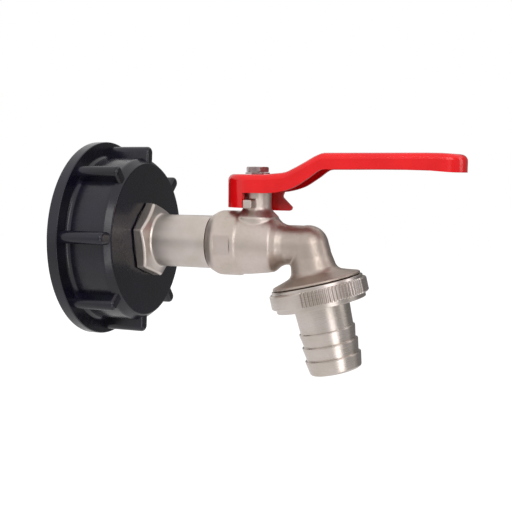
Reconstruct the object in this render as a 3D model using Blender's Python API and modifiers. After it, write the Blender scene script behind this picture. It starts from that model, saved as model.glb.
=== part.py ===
"""Tap adapter for an intermediate bulk container.

A ribbed plastic screw cap carries a nickel-plated ball tap with a red
lever, a bent spout, a knurled coupling nut and a hose tail.

Frame: +X runs along the pipe from the cap to the tap, +Z is up, and the
origin is the centre of the cap's open mouth. Sizes are in millimetres
and MM turns them into metres.
"""

import math

import bmesh
import bpy
from mathutils import Matrix, Vector

MM = 0.001

# Running clearances
GAP = 0.3
THIN_GAP = 0.2
BURY = 1.0
SKIN = 0.05
FILLET_DIP = 0.3

# Screw cap
CAP_FLANGE_RADIUS = 40.0
CAP_FLANGE_THICKNESS = 4.4
CAP_FLANGE_EDGE = 0.4
CAP_HEIGHT = 22.6
CAP_WALL_RADIUS = 33.4
CAP_BEVEL = 1.4
CAP_BEVEL_ROUND = 0.35
CAP_WALL_FOOT = 1.6
CAP_WALL_FOOT_HEIGHT = 2.0
CAP_PLATE = 3.6
CAP_TURN = -4.9
RIB_COUNT = 8
RIB_RADIUS = 38.3
RIB_WIDTH = 5.0
RIB_ROUND = 1.8
RIB_LENGTH = 18.6
RIB_FACETS = 3
THREAD_RADIUS = 30.2
THREAD_PITCH = 6.0
THREAD_DEPTH = 2.6
THREAD_TURNS = 2.0
THREAD_START = 4.6
THREAD_CREST = 0.9
THREAD_BACK = 0.3
THREAD_BURY = 0.7
THREAD_MOUTH = 1.0
BOSS_WALL = 4.0
BOSS_LENGTH = 7.0
GASKET_THICKNESS = 3.0
GASKET_WIDTH = 8.0

# Inlet connector
TUBE_RADIUS = 10.6
TUBE_BORE = 7.0
TAIL_RADIUS = 10.4
TAIL_LENGTH = 12.0
HEX_FLATS = 27.0
HEX_TURN = 11.5
HEX_LENGTH = 3.3
HEX_FACE_EDGE = 1.6
HEX_CORNER_EDGE = 0.9
HEX_CHAMFER = 1.0
HEX_DOME = 0.8
HEX_NECK = 3.0
HEX_NECK_FLARE = 1.5
INLET_WASHER_RADIUS = 13.9
INLET_WASHER_THICKNESS = 0.4
JOINT_X = 51.4
SCREWED_LENGTH = 7.0
SCREWED_RADIUS = 9.4
CONNECTOR_END_WALL = 1.0

# Valve body
STEM_X = 69.8
BODY_RADIUS = 12.85
BARREL_RADIUS = 12.2
BARREL_END_RADIUS = 11.1
SHOULDER_X = 64.4
BARREL_END_X = 76.0
PIPE_X = 81.4
PIPE_RADIUS = 7.7
PIPE_FILLET = 2.0
BARREL_END_ROUND = 1.4
SHOULDER_ROUND = 0.8
BODY_NOSE = 2.0
BODY_NOSE_LENGTH = 6.5
FLAT_DISTANCE = 12.3
FLAT_START = 4.0
FLAT_LENGTH = 7.0
FLAT_HALF_HEIGHT = 8.0
NECK_RADIUS = 5.6
NECK_TOP = 21.5
NECK_ROOT_RADIUS = 8.4
NECK_ROOT_HEIGHT = 3.4
NECK_ROOT_DEPTH = 1.4
NECK_EDGE = 0.4
LUG_WIDTH = 3.8
LUG_HEIGHT = 3.4
LUG_REACH = 9.5
LUG_TOP = 17.5
LUG_ANGLE = 263.0

# Spout
ELBOW_X = 90.7
SPOUT_TILT = 14.0
SPOUT_RADIUS = 7.9
SPOUT_ROOT_RADIUS = 8.4
FLARE_RADIUS = 17.3
FLARE_START = 9.3
FLARE_END = 14.3
FLARE_EDGE = 0.9
FLARE_DISH = 4.6
FLARE_DISH_DEPTH = 2.3
FLARE_CORNER = 0.25
SPIGOT_CHAMFER = 0.6
SPIGOT_RADIUS = 16.3
SPIGOT_LENGTH = 3.6
SPOUT_BORE = 5.2
SPOUT_BORE_SLOPE = 4.0

# Ball, seats and stem
BALL_RADIUS = 8.0
BALL_BORE = 5.0
SEAT_WIDTH = 2.8
SEAT_RIM = 7.2
CAVITY_RADIUS = 8.5
SLOT_WIDTH = 3.0
SLOT_FLOOR = 6.0
TANG_WIDTH = 6.4
STEM_RADIUS = 3.0
STEM_FOOT_RADIUS = 4.0
STEM_FOOT = 8.7
STEM_FOOT_HEIGHT = 1.2
THRUST_THICKNESS = 0.8
RING_SECTION = 0.4
RING_GROOVE_DEPTH = 0.9
LOWER_RING_Z = 14.0
UPPER_RING_Z = 18.0
STEM_FLATS = 4.4
STEM_THREAD_RADIUS = 2.4
STEM_CHAMFER = 0.4

# Lever
LEVER_SHEET = 1.8
LEVER_HALF_WIDTH = 9.0
LEVER_FILLET = 2.3
LEVER_REAR = 12.4
LEVER_TIP = 79.2
LEVER_HUB_TOP = 27.2
LEVER_HANDLE_TOP = 35.7
LEVER_TOP_LINE = ((3.0, 0.0), (9.1, 1.3), (13.1, 2.3), (17.9, 4.8), (22.6, 7.3), (27.2, 8.5))
LEVER_EDGE_LINE = ((4.0, 20.1), (10.5, 20.5), (17.3, 22.5), (22.6, 25.8), (28.2, 29.2),
                   (65.0, 29.1), (71.5, 28.6), (79.2, 28.4))
LEVER_DROOP = 0.6
LEVER_DROOP_LENGTH = 14.0
LEVER_REAR_ROUND = 8.0
REAR_TAB_FOOT = 14.3
REAR_TAB_SIDE = 3.0
FRONT_TAB = ((0.0, 12.9), (7.5, 12.9), (8.4, 13.3), (8.7, 14.3), (4.8, 18.2), (4.7, 18.9), (5.3, 19.9))
LOCK_WASHER_RADIUS = 4.8
LOCK_WASHER_THICKNESS = 0.5
LEVER_NUT_FLATS = 8.0
LEVER_NUT_HEIGHT = 2.1
LEVER_NUT_BORE = 2.6
LEVER_NUT_CHAMFER = 0.5

# Coupling nut
NUT_BAND_RADIUS = 19.1
NUT_BAND_START = 1.2
NUT_BAND_LENGTH = 5.7
NUT_TOP_LIP = 17.9
NUT_FOOT_LIP = 17.5
NUT_LENGTH = 8.7
NUT_FOOT_WALL = 1.5
NUT_EDGE = 0.3
KNURL_COUNT = 80
KNURL_DEPTH = 0.35

# Hose tail
HOSE_WASHER_THICKNESS = 1.4
HOSE_WASHER_RADIUS = 15.8
HOSE_WASHER_BORE = 9.0
COLLAR_RADIUS = 15.8
TAIL_BORE = 8.0
SHANK_RADIUS = 10.9
SHANK_END_RADIUS = 10.4
BARB_START = 33.0
BARB_PITCH = 5.3
BARB_COUNT = 3
BARB_RADIUS = 11.0
BARB_ROOT = 10.35
BARB_EDGE = 0.35
BARB_SLOPE = 0.1
TAIL_END = 49.4
TAIL_ROUND = 1.0
TAIL_TIP_STEP = 0.3
TAIL_MOUTH = 0.6

# Facets round a full turn
CAP_SEGMENTS = 48
BODY_SEGMENTS = 36
FINE_SEGMENTS = 24
THREAD_STEPS = 24
ELBOW_STEPS = 7
ELBOW_BORE_STEPS = 5
RING_FACETS = 6
STEM_HOLE_STEPS = 5
TAIL_ROUND_STEPS = 3
LEVER_ROUND_STEPS = 6
LEVER_BEND_STEPS = 10
LEVER_EDGE_STEPS = 12

# Places worked out from the sizes above
LUG_SIDE = (LUG_REACH * abs(math.cos(math.radians(LUG_ANGLE)))
            + LUG_WIDTH / 2 * abs(math.sin(math.radians(LUG_ANGLE))))
REAR_TAB_END = -LUG_SIDE - GAP
FRONT_TAB_START = LUG_SIDE + GAP
LEVER_FOOT = min(z for _, z in FRONT_TAB)
CAP_PLATE_INNER = CAP_HEIGHT - CAP_PLATE
INLET_WASHER_START = CAP_HEIGHT + THIN_GAP
HEX_START = INLET_WASHER_START + INLET_WASHER_THICKNESS + THIN_GAP
HEX_END = HEX_START + HEX_LENGTH
CONNECTOR_START = CAP_HEIGHT - TAIL_LENGTH
CENTRE_BORE = TAIL_RADIUS + GAP
BODY_START = JOINT_X + GAP
SCREWED_END = BODY_START + SCREWED_LENGTH
BALL_REACH = math.sqrt((BALL_RADIUS + GAP) ** 2 - SEAT_RIM ** 2)
SEAT_RADIUS = CAVITY_RADIUS - GAP
OUTLET_SEAT_END = STEM_X + BALL_REACH + SEAT_WIDTH
INLET_SEAT_END = STEM_X - BALL_REACH - SEAT_WIDTH
CONNECTOR_END = INLET_SEAT_END - GAP
CAVITY_END = OUTLET_SEAT_END + GAP
THRUST_Z = STEM_FOOT + STEM_FOOT_HEIGHT + THIN_GAP
NECK_STEP = THRUST_Z + THRUST_THICKNESS + THIN_GAP
RING_BORE = STEM_RADIUS + GAP
LEVER_UNDERSIDE = LEVER_HUB_TOP - LEVER_SHEET
WASHER_Z = LEVER_HUB_TOP + THIN_GAP
LEVER_NUT_Z = WASHER_Z + LOCK_WASHER_THICKNESS + THIN_GAP / 2
STEM_TOP = LEVER_NUT_Z + LEVER_NUT_HEIGHT - THIN_GAP / 2
SPIGOT_END = FLARE_END + SPIGOT_LENGTH
NUT_START = FLARE_END + GAP
NUT_END = NUT_START + NUT_LENGTH
NUT_BORE = SPIGOT_RADIUS + GAP
HOSE_WASHER_START = SPIGOT_END + GAP
COLLAR_START = HOSE_WASHER_START + HOSE_WASHER_THICKNESS + GAP
COLLAR_END = NUT_END - NUT_FOOT_WALL - GAP
SHANK_HOLE = SHANK_RADIUS + 2 * GAP

# Directions of the turned pieces' local Z
ALONG_PIPE = (0.0, math.radians(90.0), 0.0)
UPRIGHT = (0.0, 0.0, 0.0)
DOWN_SPOUT = (0.0, math.radians(180.0 - SPOUT_TILT), 0.0)
ORIGIN = (0.0, 0.0, 0.0)
STEM_FOOT_POINT = (STEM_X, 0.0, 0.0)
ELBOW_POINT = (ELBOW_X, 0.0, 0.0)

PARTS = None
CUTTERS = None
MATERIALS = {}


def clear_scene():
    """Remove whatever the file holds."""
    for obj in list(bpy.data.objects):
        bpy.data.objects.remove(obj, do_unlink=True)


def make_collection(name):
    """Add a collection to the scene."""
    collection = bpy.data.collections.new(name)
    bpy.context.scene.collection.children.link(collection)
    return collection


def make_material(name, color, roughness, metallic):
    """Make a Principled material and keep it by name."""
    material = bpy.data.materials.new(name)
    material.use_nodes = True
    shader = material.node_tree.nodes["Principled BSDF"]
    shader.inputs["Base Color"].default_value = (*color, 1.0)
    shader.inputs["Roughness"].default_value = roughness
    shader.inputs["Metallic"].default_value = metallic
    MATERIALS[name] = material


def make_materials():
    """Colours and finishes of the pieces."""
    make_material("black_plastic", (0.020, 0.020, 0.024), 0.30, 0.0)
    make_material("nickel_plate", (0.62, 0.57, 0.53), 0.32, 1.0)
    make_material("red_paint", (0.75, 0.015, 0.02), 0.25, 0.0)
    make_material("zinc_steel", (0.45, 0.40, 0.40), 0.35, 1.0)
    make_material("polished_metal", (0.72, 0.71, 0.69), 0.12, 1.0)
    make_material("white_seal", (0.85, 0.85, 0.83), 0.45, 0.0)
    make_material("black_rubber", (0.018, 0.018, 0.018), 0.65, 0.0)


def add_object(name, mesh, material=None, place=ORIGIN, turn=UPRIGHT, cutter=False):
    """Put a mesh in the scene as a part or as a cutter."""
    mesh.shade_smooth()
    mesh.set_sharp_from_angle(angle=math.radians(32.0))
    obj = bpy.data.objects.new(name, mesh)
    obj.location = Vector(place) * MM
    obj.rotation_euler = turn
    if cutter:
        obj.hide_render = True
        obj.display_type = "WIRE"
        CUTTERS.objects.link(obj)
    else:
        PARTS.objects.link(obj)
    if material:
        mesh.materials.append(MATERIALS[material])
    return obj


def mesh_from(name, bm):
    """Turn a bmesh into a mesh."""
    mesh = bpy.data.meshes.new(name)
    bm.to_mesh(mesh)
    bm.free()
    return mesh


def turned(name, profile, segments, closed=True, **placing):
    """Turn a profile of (radius, height) about local Z.

    The profile runs down the outer side. A closed one makes a ring; an
    open one starts and ends on the axis and makes a solid. A cutter is
    turned half a facet, so its edges miss those of what it cuts.
    """
    bm = bmesh.new()
    angle = math.pi / segments if placing.get("cutter") else 0.0
    aside = Vector((math.cos(angle), math.sin(angle), 0.0)) * MM
    points = [bm.verts.new(aside * radius + Vector((0.0, 0.0, height * MM))) for radius, height in profile]
    for first, second in zip(points, points[1:]):
        bm.edges.new((first, second))
    if closed:
        bm.edges.new((points[-1], points[0]))
    obj = add_object(name, mesh_from(name, bm), **placing)
    screw = obj.modifiers.new("Turn", "SCREW")
    screw.axis = "Z"
    screw.steps = segments
    screw.render_steps = segments
    screw.use_merge_vertices = True
    screw.merge_threshold = 0.00001
    screw.use_smooth_shade = True
    return obj


def ring_profile(inner, outer, start, end):
    """Square section of a washer, down its outer side."""
    return [(outer, end), (outer, start), (inner, start), (inner, end)]


def block(name, low, high, place=ORIGIN, turn=UPRIGHT):
    """Box cutter between two corners."""
    bm = bmesh.new()
    size = Vector(high) - Vector(low)
    middle = (Vector(high) + Vector(low)) / 2
    bmesh.ops.create_cube(bm, size=1.0)
    bmesh.ops.scale(bm, vec=size * MM, verts=bm.verts)
    bmesh.ops.translate(bm, vec=middle * MM, verts=bm.verts)
    return add_object(name, mesh_from(name, bm), place=place, turn=turn, cutter=True)


def prism(name, outline, low, high, **placing):
    """Solid between two heights from a flat outline of (x, y)."""
    curve = bpy.data.curves.new(name, "CURVE")
    curve.dimensions = "2D"
    curve.fill_mode = "BOTH"
    curve.extrude = (high - low) / 2 * MM
    spline = curve.splines.new("POLY")
    spline.points.add(len(outline) - 1)
    for point, (x, y) in zip(spline.points, outline):
        point.co = (x * MM, y * MM, 0.0, 1.0)
    spline.use_cyclic_u = True
    guide = bpy.data.objects.new(name + "_outline", curve)
    CUTTERS.objects.link(guide)
    bpy.context.view_layer.update()
    mesh = bpy.data.meshes.new_from_object(guide.evaluated_get(bpy.context.evaluated_depsgraph_get()))
    bpy.data.objects.remove(guide, do_unlink=True)
    bm = bmesh.new()
    bm.from_mesh(mesh)
    bpy.data.meshes.remove(mesh)
    bmesh.ops.remove_doubles(bm, verts=bm.verts, dist=0.000001)
    bmesh.ops.translate(bm, vec=(0.0, 0.0, (high + low) / 2 * MM), verts=bm.verts)
    bmesh.ops.recalc_face_normals(bm, faces=bm.faces)
    return add_object(name, mesh_from(name, bm), **placing)


def combine(obj, tool, operation):
    """Boolean with another object, which stays among the cutters."""
    modifier = obj.modifiers.new(operation.title() + " " + tool.name, "BOOLEAN")
    modifier.operation = operation
    modifier.object = tool
    modifier.solver = "EXACT"


def polygon(count, radius, turn=0.0):
    """Corners of a regular polygon."""
    angles = [math.radians(turn) + 2 * math.pi * i / count for i in range(count)]
    return [(radius * math.cos(a), radius * math.sin(a)) for a in angles]


def arc(centre, radius, start, end, steps):
    """Points of an arc in (radius, height), angles in degrees."""
    angles = [math.radians(start + (end - start) * i / steps) for i in range(steps + 1)]
    return [(centre[0] + radius * math.cos(a), centre[1] + radius * math.sin(a)) for a in angles]


def cap_profile():
    """Section of the cap from its face down to its mouth."""
    rim, wall, boss = CAP_FLANGE_RADIUS, CAP_WALL_RADIUS, CENTRE_BORE + BOSS_WALL
    edge, front, bevel = CAP_FLANGE_EDGE, CAP_FLANGE_THICKNESS, CAP_BEVEL * CAP_BEVEL_ROUND
    foot, rise, dip = wall + CAP_WALL_FOOT, front + CAP_WALL_FOOT_HEIGHT, FILLET_DIP
    outside = [(wall - CAP_BEVEL, CAP_HEIGHT), (wall - bevel, CAP_HEIGHT - bevel)]
    outside += [(wall, CAP_HEIGHT - CAP_BEVEL), (wall, rise)]
    outside += [(wall + CAP_WALL_FOOT * dip, front + CAP_WALL_FOOT_HEIGHT * dip), (foot, front)]
    outside += [(rim - edge, front), (rim, front - edge), (rim, edge), (rim - edge, 0.0)]
    mouth = [(THREAD_RADIUS + THREAD_MOUTH, 0.0), (THREAD_RADIUS, THREAD_MOUTH)]
    middle = [(THREAD_RADIUS, CAP_PLATE_INNER), (boss, CAP_PLATE_INNER)]
    middle += [(boss, CAP_PLATE_INNER - BOSS_LENGTH), (CENTRE_BORE, CAP_PLATE_INNER - BOSS_LENGTH)]
    return outside + mouth + middle + [(CENTRE_BORE, CAP_HEIGHT)]


def make_ribs():
    """Grip ribs round the cap, each a bar with a rounded back and end."""
    bm = bmesh.new()
    start = CAP_FLANGE_THICKNESS - BURY
    end = CAP_FLANGE_THICKNESS + RIB_LENGTH
    inner = CAP_WALL_RADIUS - BURY
    for index in range(RIB_COUNT):
        bar = bmesh.ops.create_cube(bm, size=1.0)["verts"]
        bmesh.ops.scale(bm, vec=Vector((RIB_RADIUS - inner, RIB_WIDTH, end - start)) * MM, verts=bar)
        middle = Vector(((RIB_RADIUS + inner) / 2, 0.0, (start + end) / 2))
        bmesh.ops.translate(bm, vec=middle * MM, verts=bar)
        angle = math.radians(CAP_TURN + 360.0 * index / RIB_COUNT)
        back = [edge for edge in {e for v in bar for e in v.link_edges}
                if all(v.co.x > middle.x * MM for v in edge.verts)
                and any(v.co.z > middle.z * MM for v in edge.verts)]
        bmesh.ops.rotate(bm, matrix=Matrix.Rotation(angle, 3, "Z"), verts=bar)
        bmesh.ops.bevel(bm, geom=back, offset=RIB_ROUND * MM, segments=RIB_FACETS, profile=0.5,
                        affect="EDGES")
    return add_object("cap_ribs", mesh_from("cap_ribs", bm), turn=ALONG_PIPE, cutter=True)


def make_cap_thread():
    """Two turns of buttress thread: a steep flank and a 45 degree flank."""
    crest, root = THREAD_RADIUS - THREAD_DEPTH, THREAD_RADIUS + THREAD_BURY
    section = [(root, crest - root), (crest, 0.0), (crest, THREAD_CREST), (root, THREAD_CREST + THREAD_BACK)]
    bm = bmesh.new()
    face = bm.faces.new([bm.verts.new((radius * MM, 0.0, (THREAD_START + height) * MM))
                         for radius, height in section])
    steps = round(THREAD_STEPS * THREAD_TURNS)
    rise = THREAD_PITCH * THREAD_TURNS / steps
    bmesh.ops.spin(bm, geom=[face, *face.edges, *face.verts], cent=(0, 0, 0), axis=(0, 0, 1),
                   dvec=(0.0, 0.0, rise * MM), angle=2 * math.pi * THREAD_TURNS, steps=steps,
                   use_duplicate=False)
    bmesh.ops.recalc_face_normals(bm, faces=bm.faces)
    return add_object("cap_thread", mesh_from("cap_thread", bm), turn=ALONG_PIPE, cutter=True)


def make_cap():
    """Ribbed screw cap with its thread, and its gasket."""
    cap = turned("adapter_cap", cap_profile(), CAP_SEGMENTS, material="black_plastic",
                 turn=ALONG_PIPE)
    combine(cap, make_ribs(), "UNION")
    combine(cap, make_cap_thread(), "UNION")
    outer = THREAD_RADIUS - THREAD_DEPTH - GAP
    top = CAP_PLATE_INNER - GAP
    turned("cap_gasket", ring_profile(outer - GASKET_WIDTH, outer, top - GASKET_THICKNESS, top),
           CAP_SEGMENTS, material="black_rubber", turn=ALONG_PIPE)


def make_inlet():
    """Connector with its hexagon, and the washer behind the hexagon."""
    corner = HEX_FLATS / math.sqrt(3.0)
    profile = [(SEAT_RADIUS, CONNECTOR_END), (SEAT_RADIUS, SCREWED_END - GAP)]
    profile += [(SCREWED_RADIUS, SCREWED_END - GAP), (SCREWED_RADIUS, JOINT_X)]
    profile += [(TUBE_RADIUS, JOINT_X), (TUBE_RADIUS, HEX_END + HEX_NECK)]
    profile += [(TUBE_RADIUS + HEX_NECK_FLARE / 3, HEX_END + HEX_NECK / 2)]
    profile += [(TUBE_RADIUS + HEX_NECK_FLARE, HEX_END + HEX_NECK / 3)]
    profile += [(HEX_FLATS / 2 - HEX_FACE_EDGE, HEX_END + HEX_DOME), (corner - HEX_CORNER_EDGE, HEX_END)]
    profile += [(corner + BURY, HEX_END - HEX_CHAMFER), (corner + BURY, HEX_START)]
    profile += [(TAIL_RADIUS, HEX_START), (TAIL_RADIUS, CONNECTOR_START)]
    profile += [(TUBE_BORE, CONNECTOR_START), (TUBE_BORE, SCREWED_END - GAP)]
    profile += [(SPOUT_BORE, CONNECTOR_END - CONNECTOR_END_WALL), (SPOUT_BORE, CONNECTOR_END)]
    connector = turned("inlet_connector", profile, BODY_SEGMENTS, material="nickel_plate",
                       turn=ALONG_PIPE)
    outline = polygon(6, corner, HEX_TURN)
    cutter = prism("hex_trim", outline, CONNECTOR_START - BURY, CONNECTOR_END + BURY,
                   turn=ALONG_PIPE, cutter=True)
    combine(connector, cutter, "INTERSECT")
    turned("inlet_washer", ring_profile(CENTRE_BORE, INLET_WASHER_RADIUS, INLET_WASHER_START,
                                        INLET_WASHER_START + INLET_WASHER_THICKNESS),
           BODY_SEGMENTS, material="black_rubber", turn=ALONG_PIPE)


def barrel_profile():
    """Outside of the body along the pipe, from the elbow back to the joint."""
    fillet, end_round, step, nose = PIPE_FILLET, BARREL_END_ROUND, SHOULDER_ROUND, BODY_NOSE
    tip = [(0.0, ELBOW_X), (PIPE_RADIUS, ELBOW_X), (PIPE_RADIUS, PIPE_X + fillet * 0.3)]
    tip += [(PIPE_RADIUS + fillet / 8, PIPE_X - fillet * 0.15)]
    tip += [(PIPE_RADIUS + fillet * 0.85, PIPE_X - fillet)]
    barrel = [(BARREL_END_RADIUS - end_round / 3, BARREL_END_X + end_round)]
    barrel += [(BARREL_END_RADIUS, BARREL_END_X - end_round / 2), (BARREL_RADIUS, SHOULDER_X + step * 0.75)]
    barrel += [(BODY_RADIUS - step / 4, SHOULDER_X - step / 4), (BODY_RADIUS, SHOULDER_X - step)]
    inlet = [(BODY_RADIUS, BODY_START + BODY_NOSE_LENGTH)]
    inlet += [(BODY_RADIUS - nose * 0.2, BODY_START + nose * 1.3)]
    inlet += [(BODY_RADIUS - nose * 0.55, BODY_START + nose * 0.45), (BODY_RADIUS - nose, BODY_START)]
    return tip + barrel + inlet + [(0.0, BODY_START)]


def spout_profile():
    """Outside of the spout from its end up to a round elbow."""
    root, edge, corner, depth = SPOUT_ROOT_RADIUS, FLARE_RADIUS, FLARE_CORNER, FLARE_DISH_DEPTH
    end = [(0.0, SPIGOT_END), (SPIGOT_RADIUS - SPIGOT_CHAMFER, SPIGOT_END)]
    end += [(SPIGOT_RADIUS, SPIGOT_END - SPIGOT_CHAMFER), (SPIGOT_RADIUS, FLARE_END)]
    flare = [(edge - corner, FLARE_END), (edge, FLARE_END - corner)]
    flare += [(edge - corner / 2, FLARE_END - FLARE_EDGE)]
    flare += [(edge - FLARE_DISH / 2, FLARE_END - depth * 0.8), (edge - FLARE_DISH, FLARE_END - depth)]
    flare += [(root + depth * 0.9, FLARE_END - depth * 1.25), (root + depth / 4, FLARE_END - depth * 1.65)]
    flare += [(root, FLARE_START), ((root + SPOUT_RADIUS) / 2, FLARE_START / 2)]
    return end + flare + arc((0.0, 0.0), SPOUT_RADIUS, 0.0, -90.0, ELBOW_STEPS)


def neck_profile():
    """Stem neck from its top down to its flared root inside the barrel."""
    root, foot = BARREL_RADIUS - NECK_ROOT_DEPTH, BARREL_RADIUS / 2
    flare = NECK_ROOT_RADIUS - NECK_RADIUS
    neck = [(0.0, NECK_TOP), (NECK_RADIUS - NECK_EDGE, NECK_TOP), (NECK_RADIUS, NECK_TOP - NECK_EDGE)]
    neck += [(NECK_RADIUS, root + NECK_ROOT_HEIGHT)]
    neck += [(NECK_RADIUS + flare / 8, root + NECK_ROOT_HEIGHT * 0.65)]
    neck += [(NECK_RADIUS + flare * 0.45, root + NECK_ROOT_HEIGHT / 3), (NECK_ROOT_RADIUS, root)]
    return neck + [(NECK_ROOT_RADIUS, foot), (0.0, foot)]


def make_flats(body):
    """Two wrench flats on the body's inlet shoulder."""
    start, depth = BODY_START + FLAT_START, 2 * BURY
    for side, name in ((-1, "flat_near"), (1, "flat_far")):
        low = min(side * FLAT_DISTANCE, side * (FLAT_DISTANCE + depth))
        cutter = block(name, (start, low, -FLAT_HALF_HEIGHT),
                       (start + FLAT_LENGTH, low + depth, FLAT_HALF_HEIGHT))
        combine(body, cutter, "DIFFERENCE")


def make_body():
    """Body casting: barrel, neck with two lugs, elbow, flared spout."""
    body = turned("valve_body", barrel_profile(), BODY_SEGMENTS, closed=False,
                  material="nickel_plate", turn=ALONG_PIPE)
    make_flats(body)
    spout = turned("spout_form", spout_profile(), BODY_SEGMENTS, closed=False,
                   place=ELBOW_POINT, turn=DOWN_SPOUT, cutter=True)
    combine(body, spout, "UNION")
    combine(body, turned("neck_form", neck_profile(), FINE_SEGMENTS, closed=False,
                         place=STEM_FOOT_POINT, cutter=True), "UNION")
    for name, angle in (("lug_near", LUG_ANGLE), ("lug_far", LUG_ANGLE - 180.0)):
        lug = block(name, (NECK_RADIUS - BURY * 2, -LUG_WIDTH / 2, LUG_TOP - LUG_HEIGHT),
                    (LUG_REACH, LUG_WIDTH / 2, LUG_TOP), place=STEM_FOOT_POINT,
                    turn=(0.0, 0.0, math.radians(angle)))
        combine(body, lug, "UNION")
    make_body_bores(body)


def make_body_bores(body):
    """Waterway, ball chamber and stem bore."""
    chamber = [(0.0, ELBOW_X), (SPOUT_BORE, ELBOW_X), (SPOUT_BORE, CAVITY_END)]
    chamber += [(CAVITY_RADIUS, CAVITY_END), (CAVITY_RADIUS, SCREWED_END)]
    chamber += [(SCREWED_RADIUS + GAP, SCREWED_END), (SCREWED_RADIUS + GAP, BODY_START - BURY)]
    chamber += [(0.0, BODY_START - BURY)]
    combine(body, turned("chamber", chamber, BODY_SEGMENTS, closed=False, turn=ALONG_PIPE,
                         cutter=True), "DIFFERENCE")
    mouth, bore, slope = HOSE_WASHER_BORE, SPOUT_BORE + GAP, SPOUT_BORE_SLOPE / 2
    spout = [(0.0, SPIGOT_END + BURY), (mouth, SPIGOT_END + BURY), (mouth, FLARE_START + slope)]
    spout += [(bore, FLARE_START - slope)] + arc((0.0, 0.0), bore, 0.0, -90.0, ELBOW_BORE_STEPS)
    combine(body, turned("spout_bore", spout, FINE_SEGMENTS, closed=False, place=ELBOW_POINT,
                         turn=DOWN_SPOUT, cutter=True), "DIFFERENCE")
    low = BALL_RADIUS / 2
    stem = [(0.0, NECK_TOP + BURY), (RING_BORE, NECK_TOP + BURY), (RING_BORE, NECK_STEP)]
    stem += [(STEM_FOOT_RADIUS + GAP, NECK_STEP), (STEM_FOOT_RADIUS + GAP, low), (0.0, low)]
    combine(body, turned("stem_bore", stem, FINE_SEGMENTS, closed=False, place=STEM_FOOT_POINT,
                         cutter=True), "DIFFERENCE")


def seat_profile(side):
    """Seat ring whose inner face follows the ball."""
    bore = BALL_BORE + THIN_GAP
    radii = [SEAT_RIM, (SEAT_RIM + bore) / 2, bore]
    sphere = BALL_RADIUS + GAP
    hollow = [(r, math.sqrt(sphere ** 2 - r ** 2)) for r in radii]
    back = BALL_REACH + SEAT_WIDTH
    points = [(SEAT_RADIUS, back), (SEAT_RADIUS, BALL_REACH)] + hollow + [(bore, back)]
    if side > 0:
        return [(radius, STEM_X + x) for radius, x in points]
    return [(radius, STEM_X - x) for radius, x in reversed(points)]


def make_ball_and_seats():
    """Ball with its waterway and drive slot, between two seats."""
    bm = bmesh.new()
    bmesh.ops.create_uvsphere(bm, u_segments=24, v_segments=16, radius=BALL_RADIUS * MM)
    ball = add_object("ball", mesh_from("ball", bm), material="polished_metal",
                      place=STEM_FOOT_POINT)
    way = [(0.0, BALL_RADIUS + BURY), (BALL_BORE, BALL_RADIUS + BURY)]
    way += [(BALL_BORE, -BALL_RADIUS - BURY), (0.0, -BALL_RADIUS - BURY)]
    combine(ball, turned("ball_way", way, FINE_SEGMENTS, closed=False, place=STEM_FOOT_POINT,
                         turn=ALONG_PIPE, cutter=True), "DIFFERENCE")
    slot = block("ball_slot", (-SLOT_WIDTH / 2, -BALL_RADIUS, SLOT_FLOOR),
                 (SLOT_WIDTH / 2, BALL_RADIUS, BALL_RADIUS + BURY), place=STEM_FOOT_POINT)
    combine(ball, slot, "DIFFERENCE")
    for name, side in (("inlet_seat", -1), ("outlet_seat", 1)):
        turned(name, seat_profile(side), FINE_SEGMENTS, material="white_seal", turn=ALONG_PIPE)


def stem_profile():
    """Stem from its threaded end down to its foot."""
    groove = STEM_RADIUS - RING_GROOVE_DEPTH
    half = 2 * RING_SECTION
    profile = [(0.0, STEM_TOP), (STEM_THREAD_RADIUS - STEM_CHAMFER, STEM_TOP)]
    profile += [(STEM_THREAD_RADIUS, STEM_TOP - STEM_CHAMFER), (STEM_THREAD_RADIUS, LEVER_HUB_TOP)]
    profile += [(STEM_RADIUS, LEVER_HUB_TOP)]
    for height in (UPPER_RING_Z, LOWER_RING_Z):
        profile += [(STEM_RADIUS, height + half), (groove, height + half)]
        profile += [(groove, height - half), (STEM_RADIUS, height - half)]
    profile += [(STEM_RADIUS, STEM_FOOT + STEM_FOOT_HEIGHT)]
    profile += [(STEM_FOOT_RADIUS, STEM_FOOT + STEM_FOOT_HEIGHT), (STEM_FOOT_RADIUS, STEM_FOOT)]
    return profile + [(0.0, STEM_FOOT)]


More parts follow.
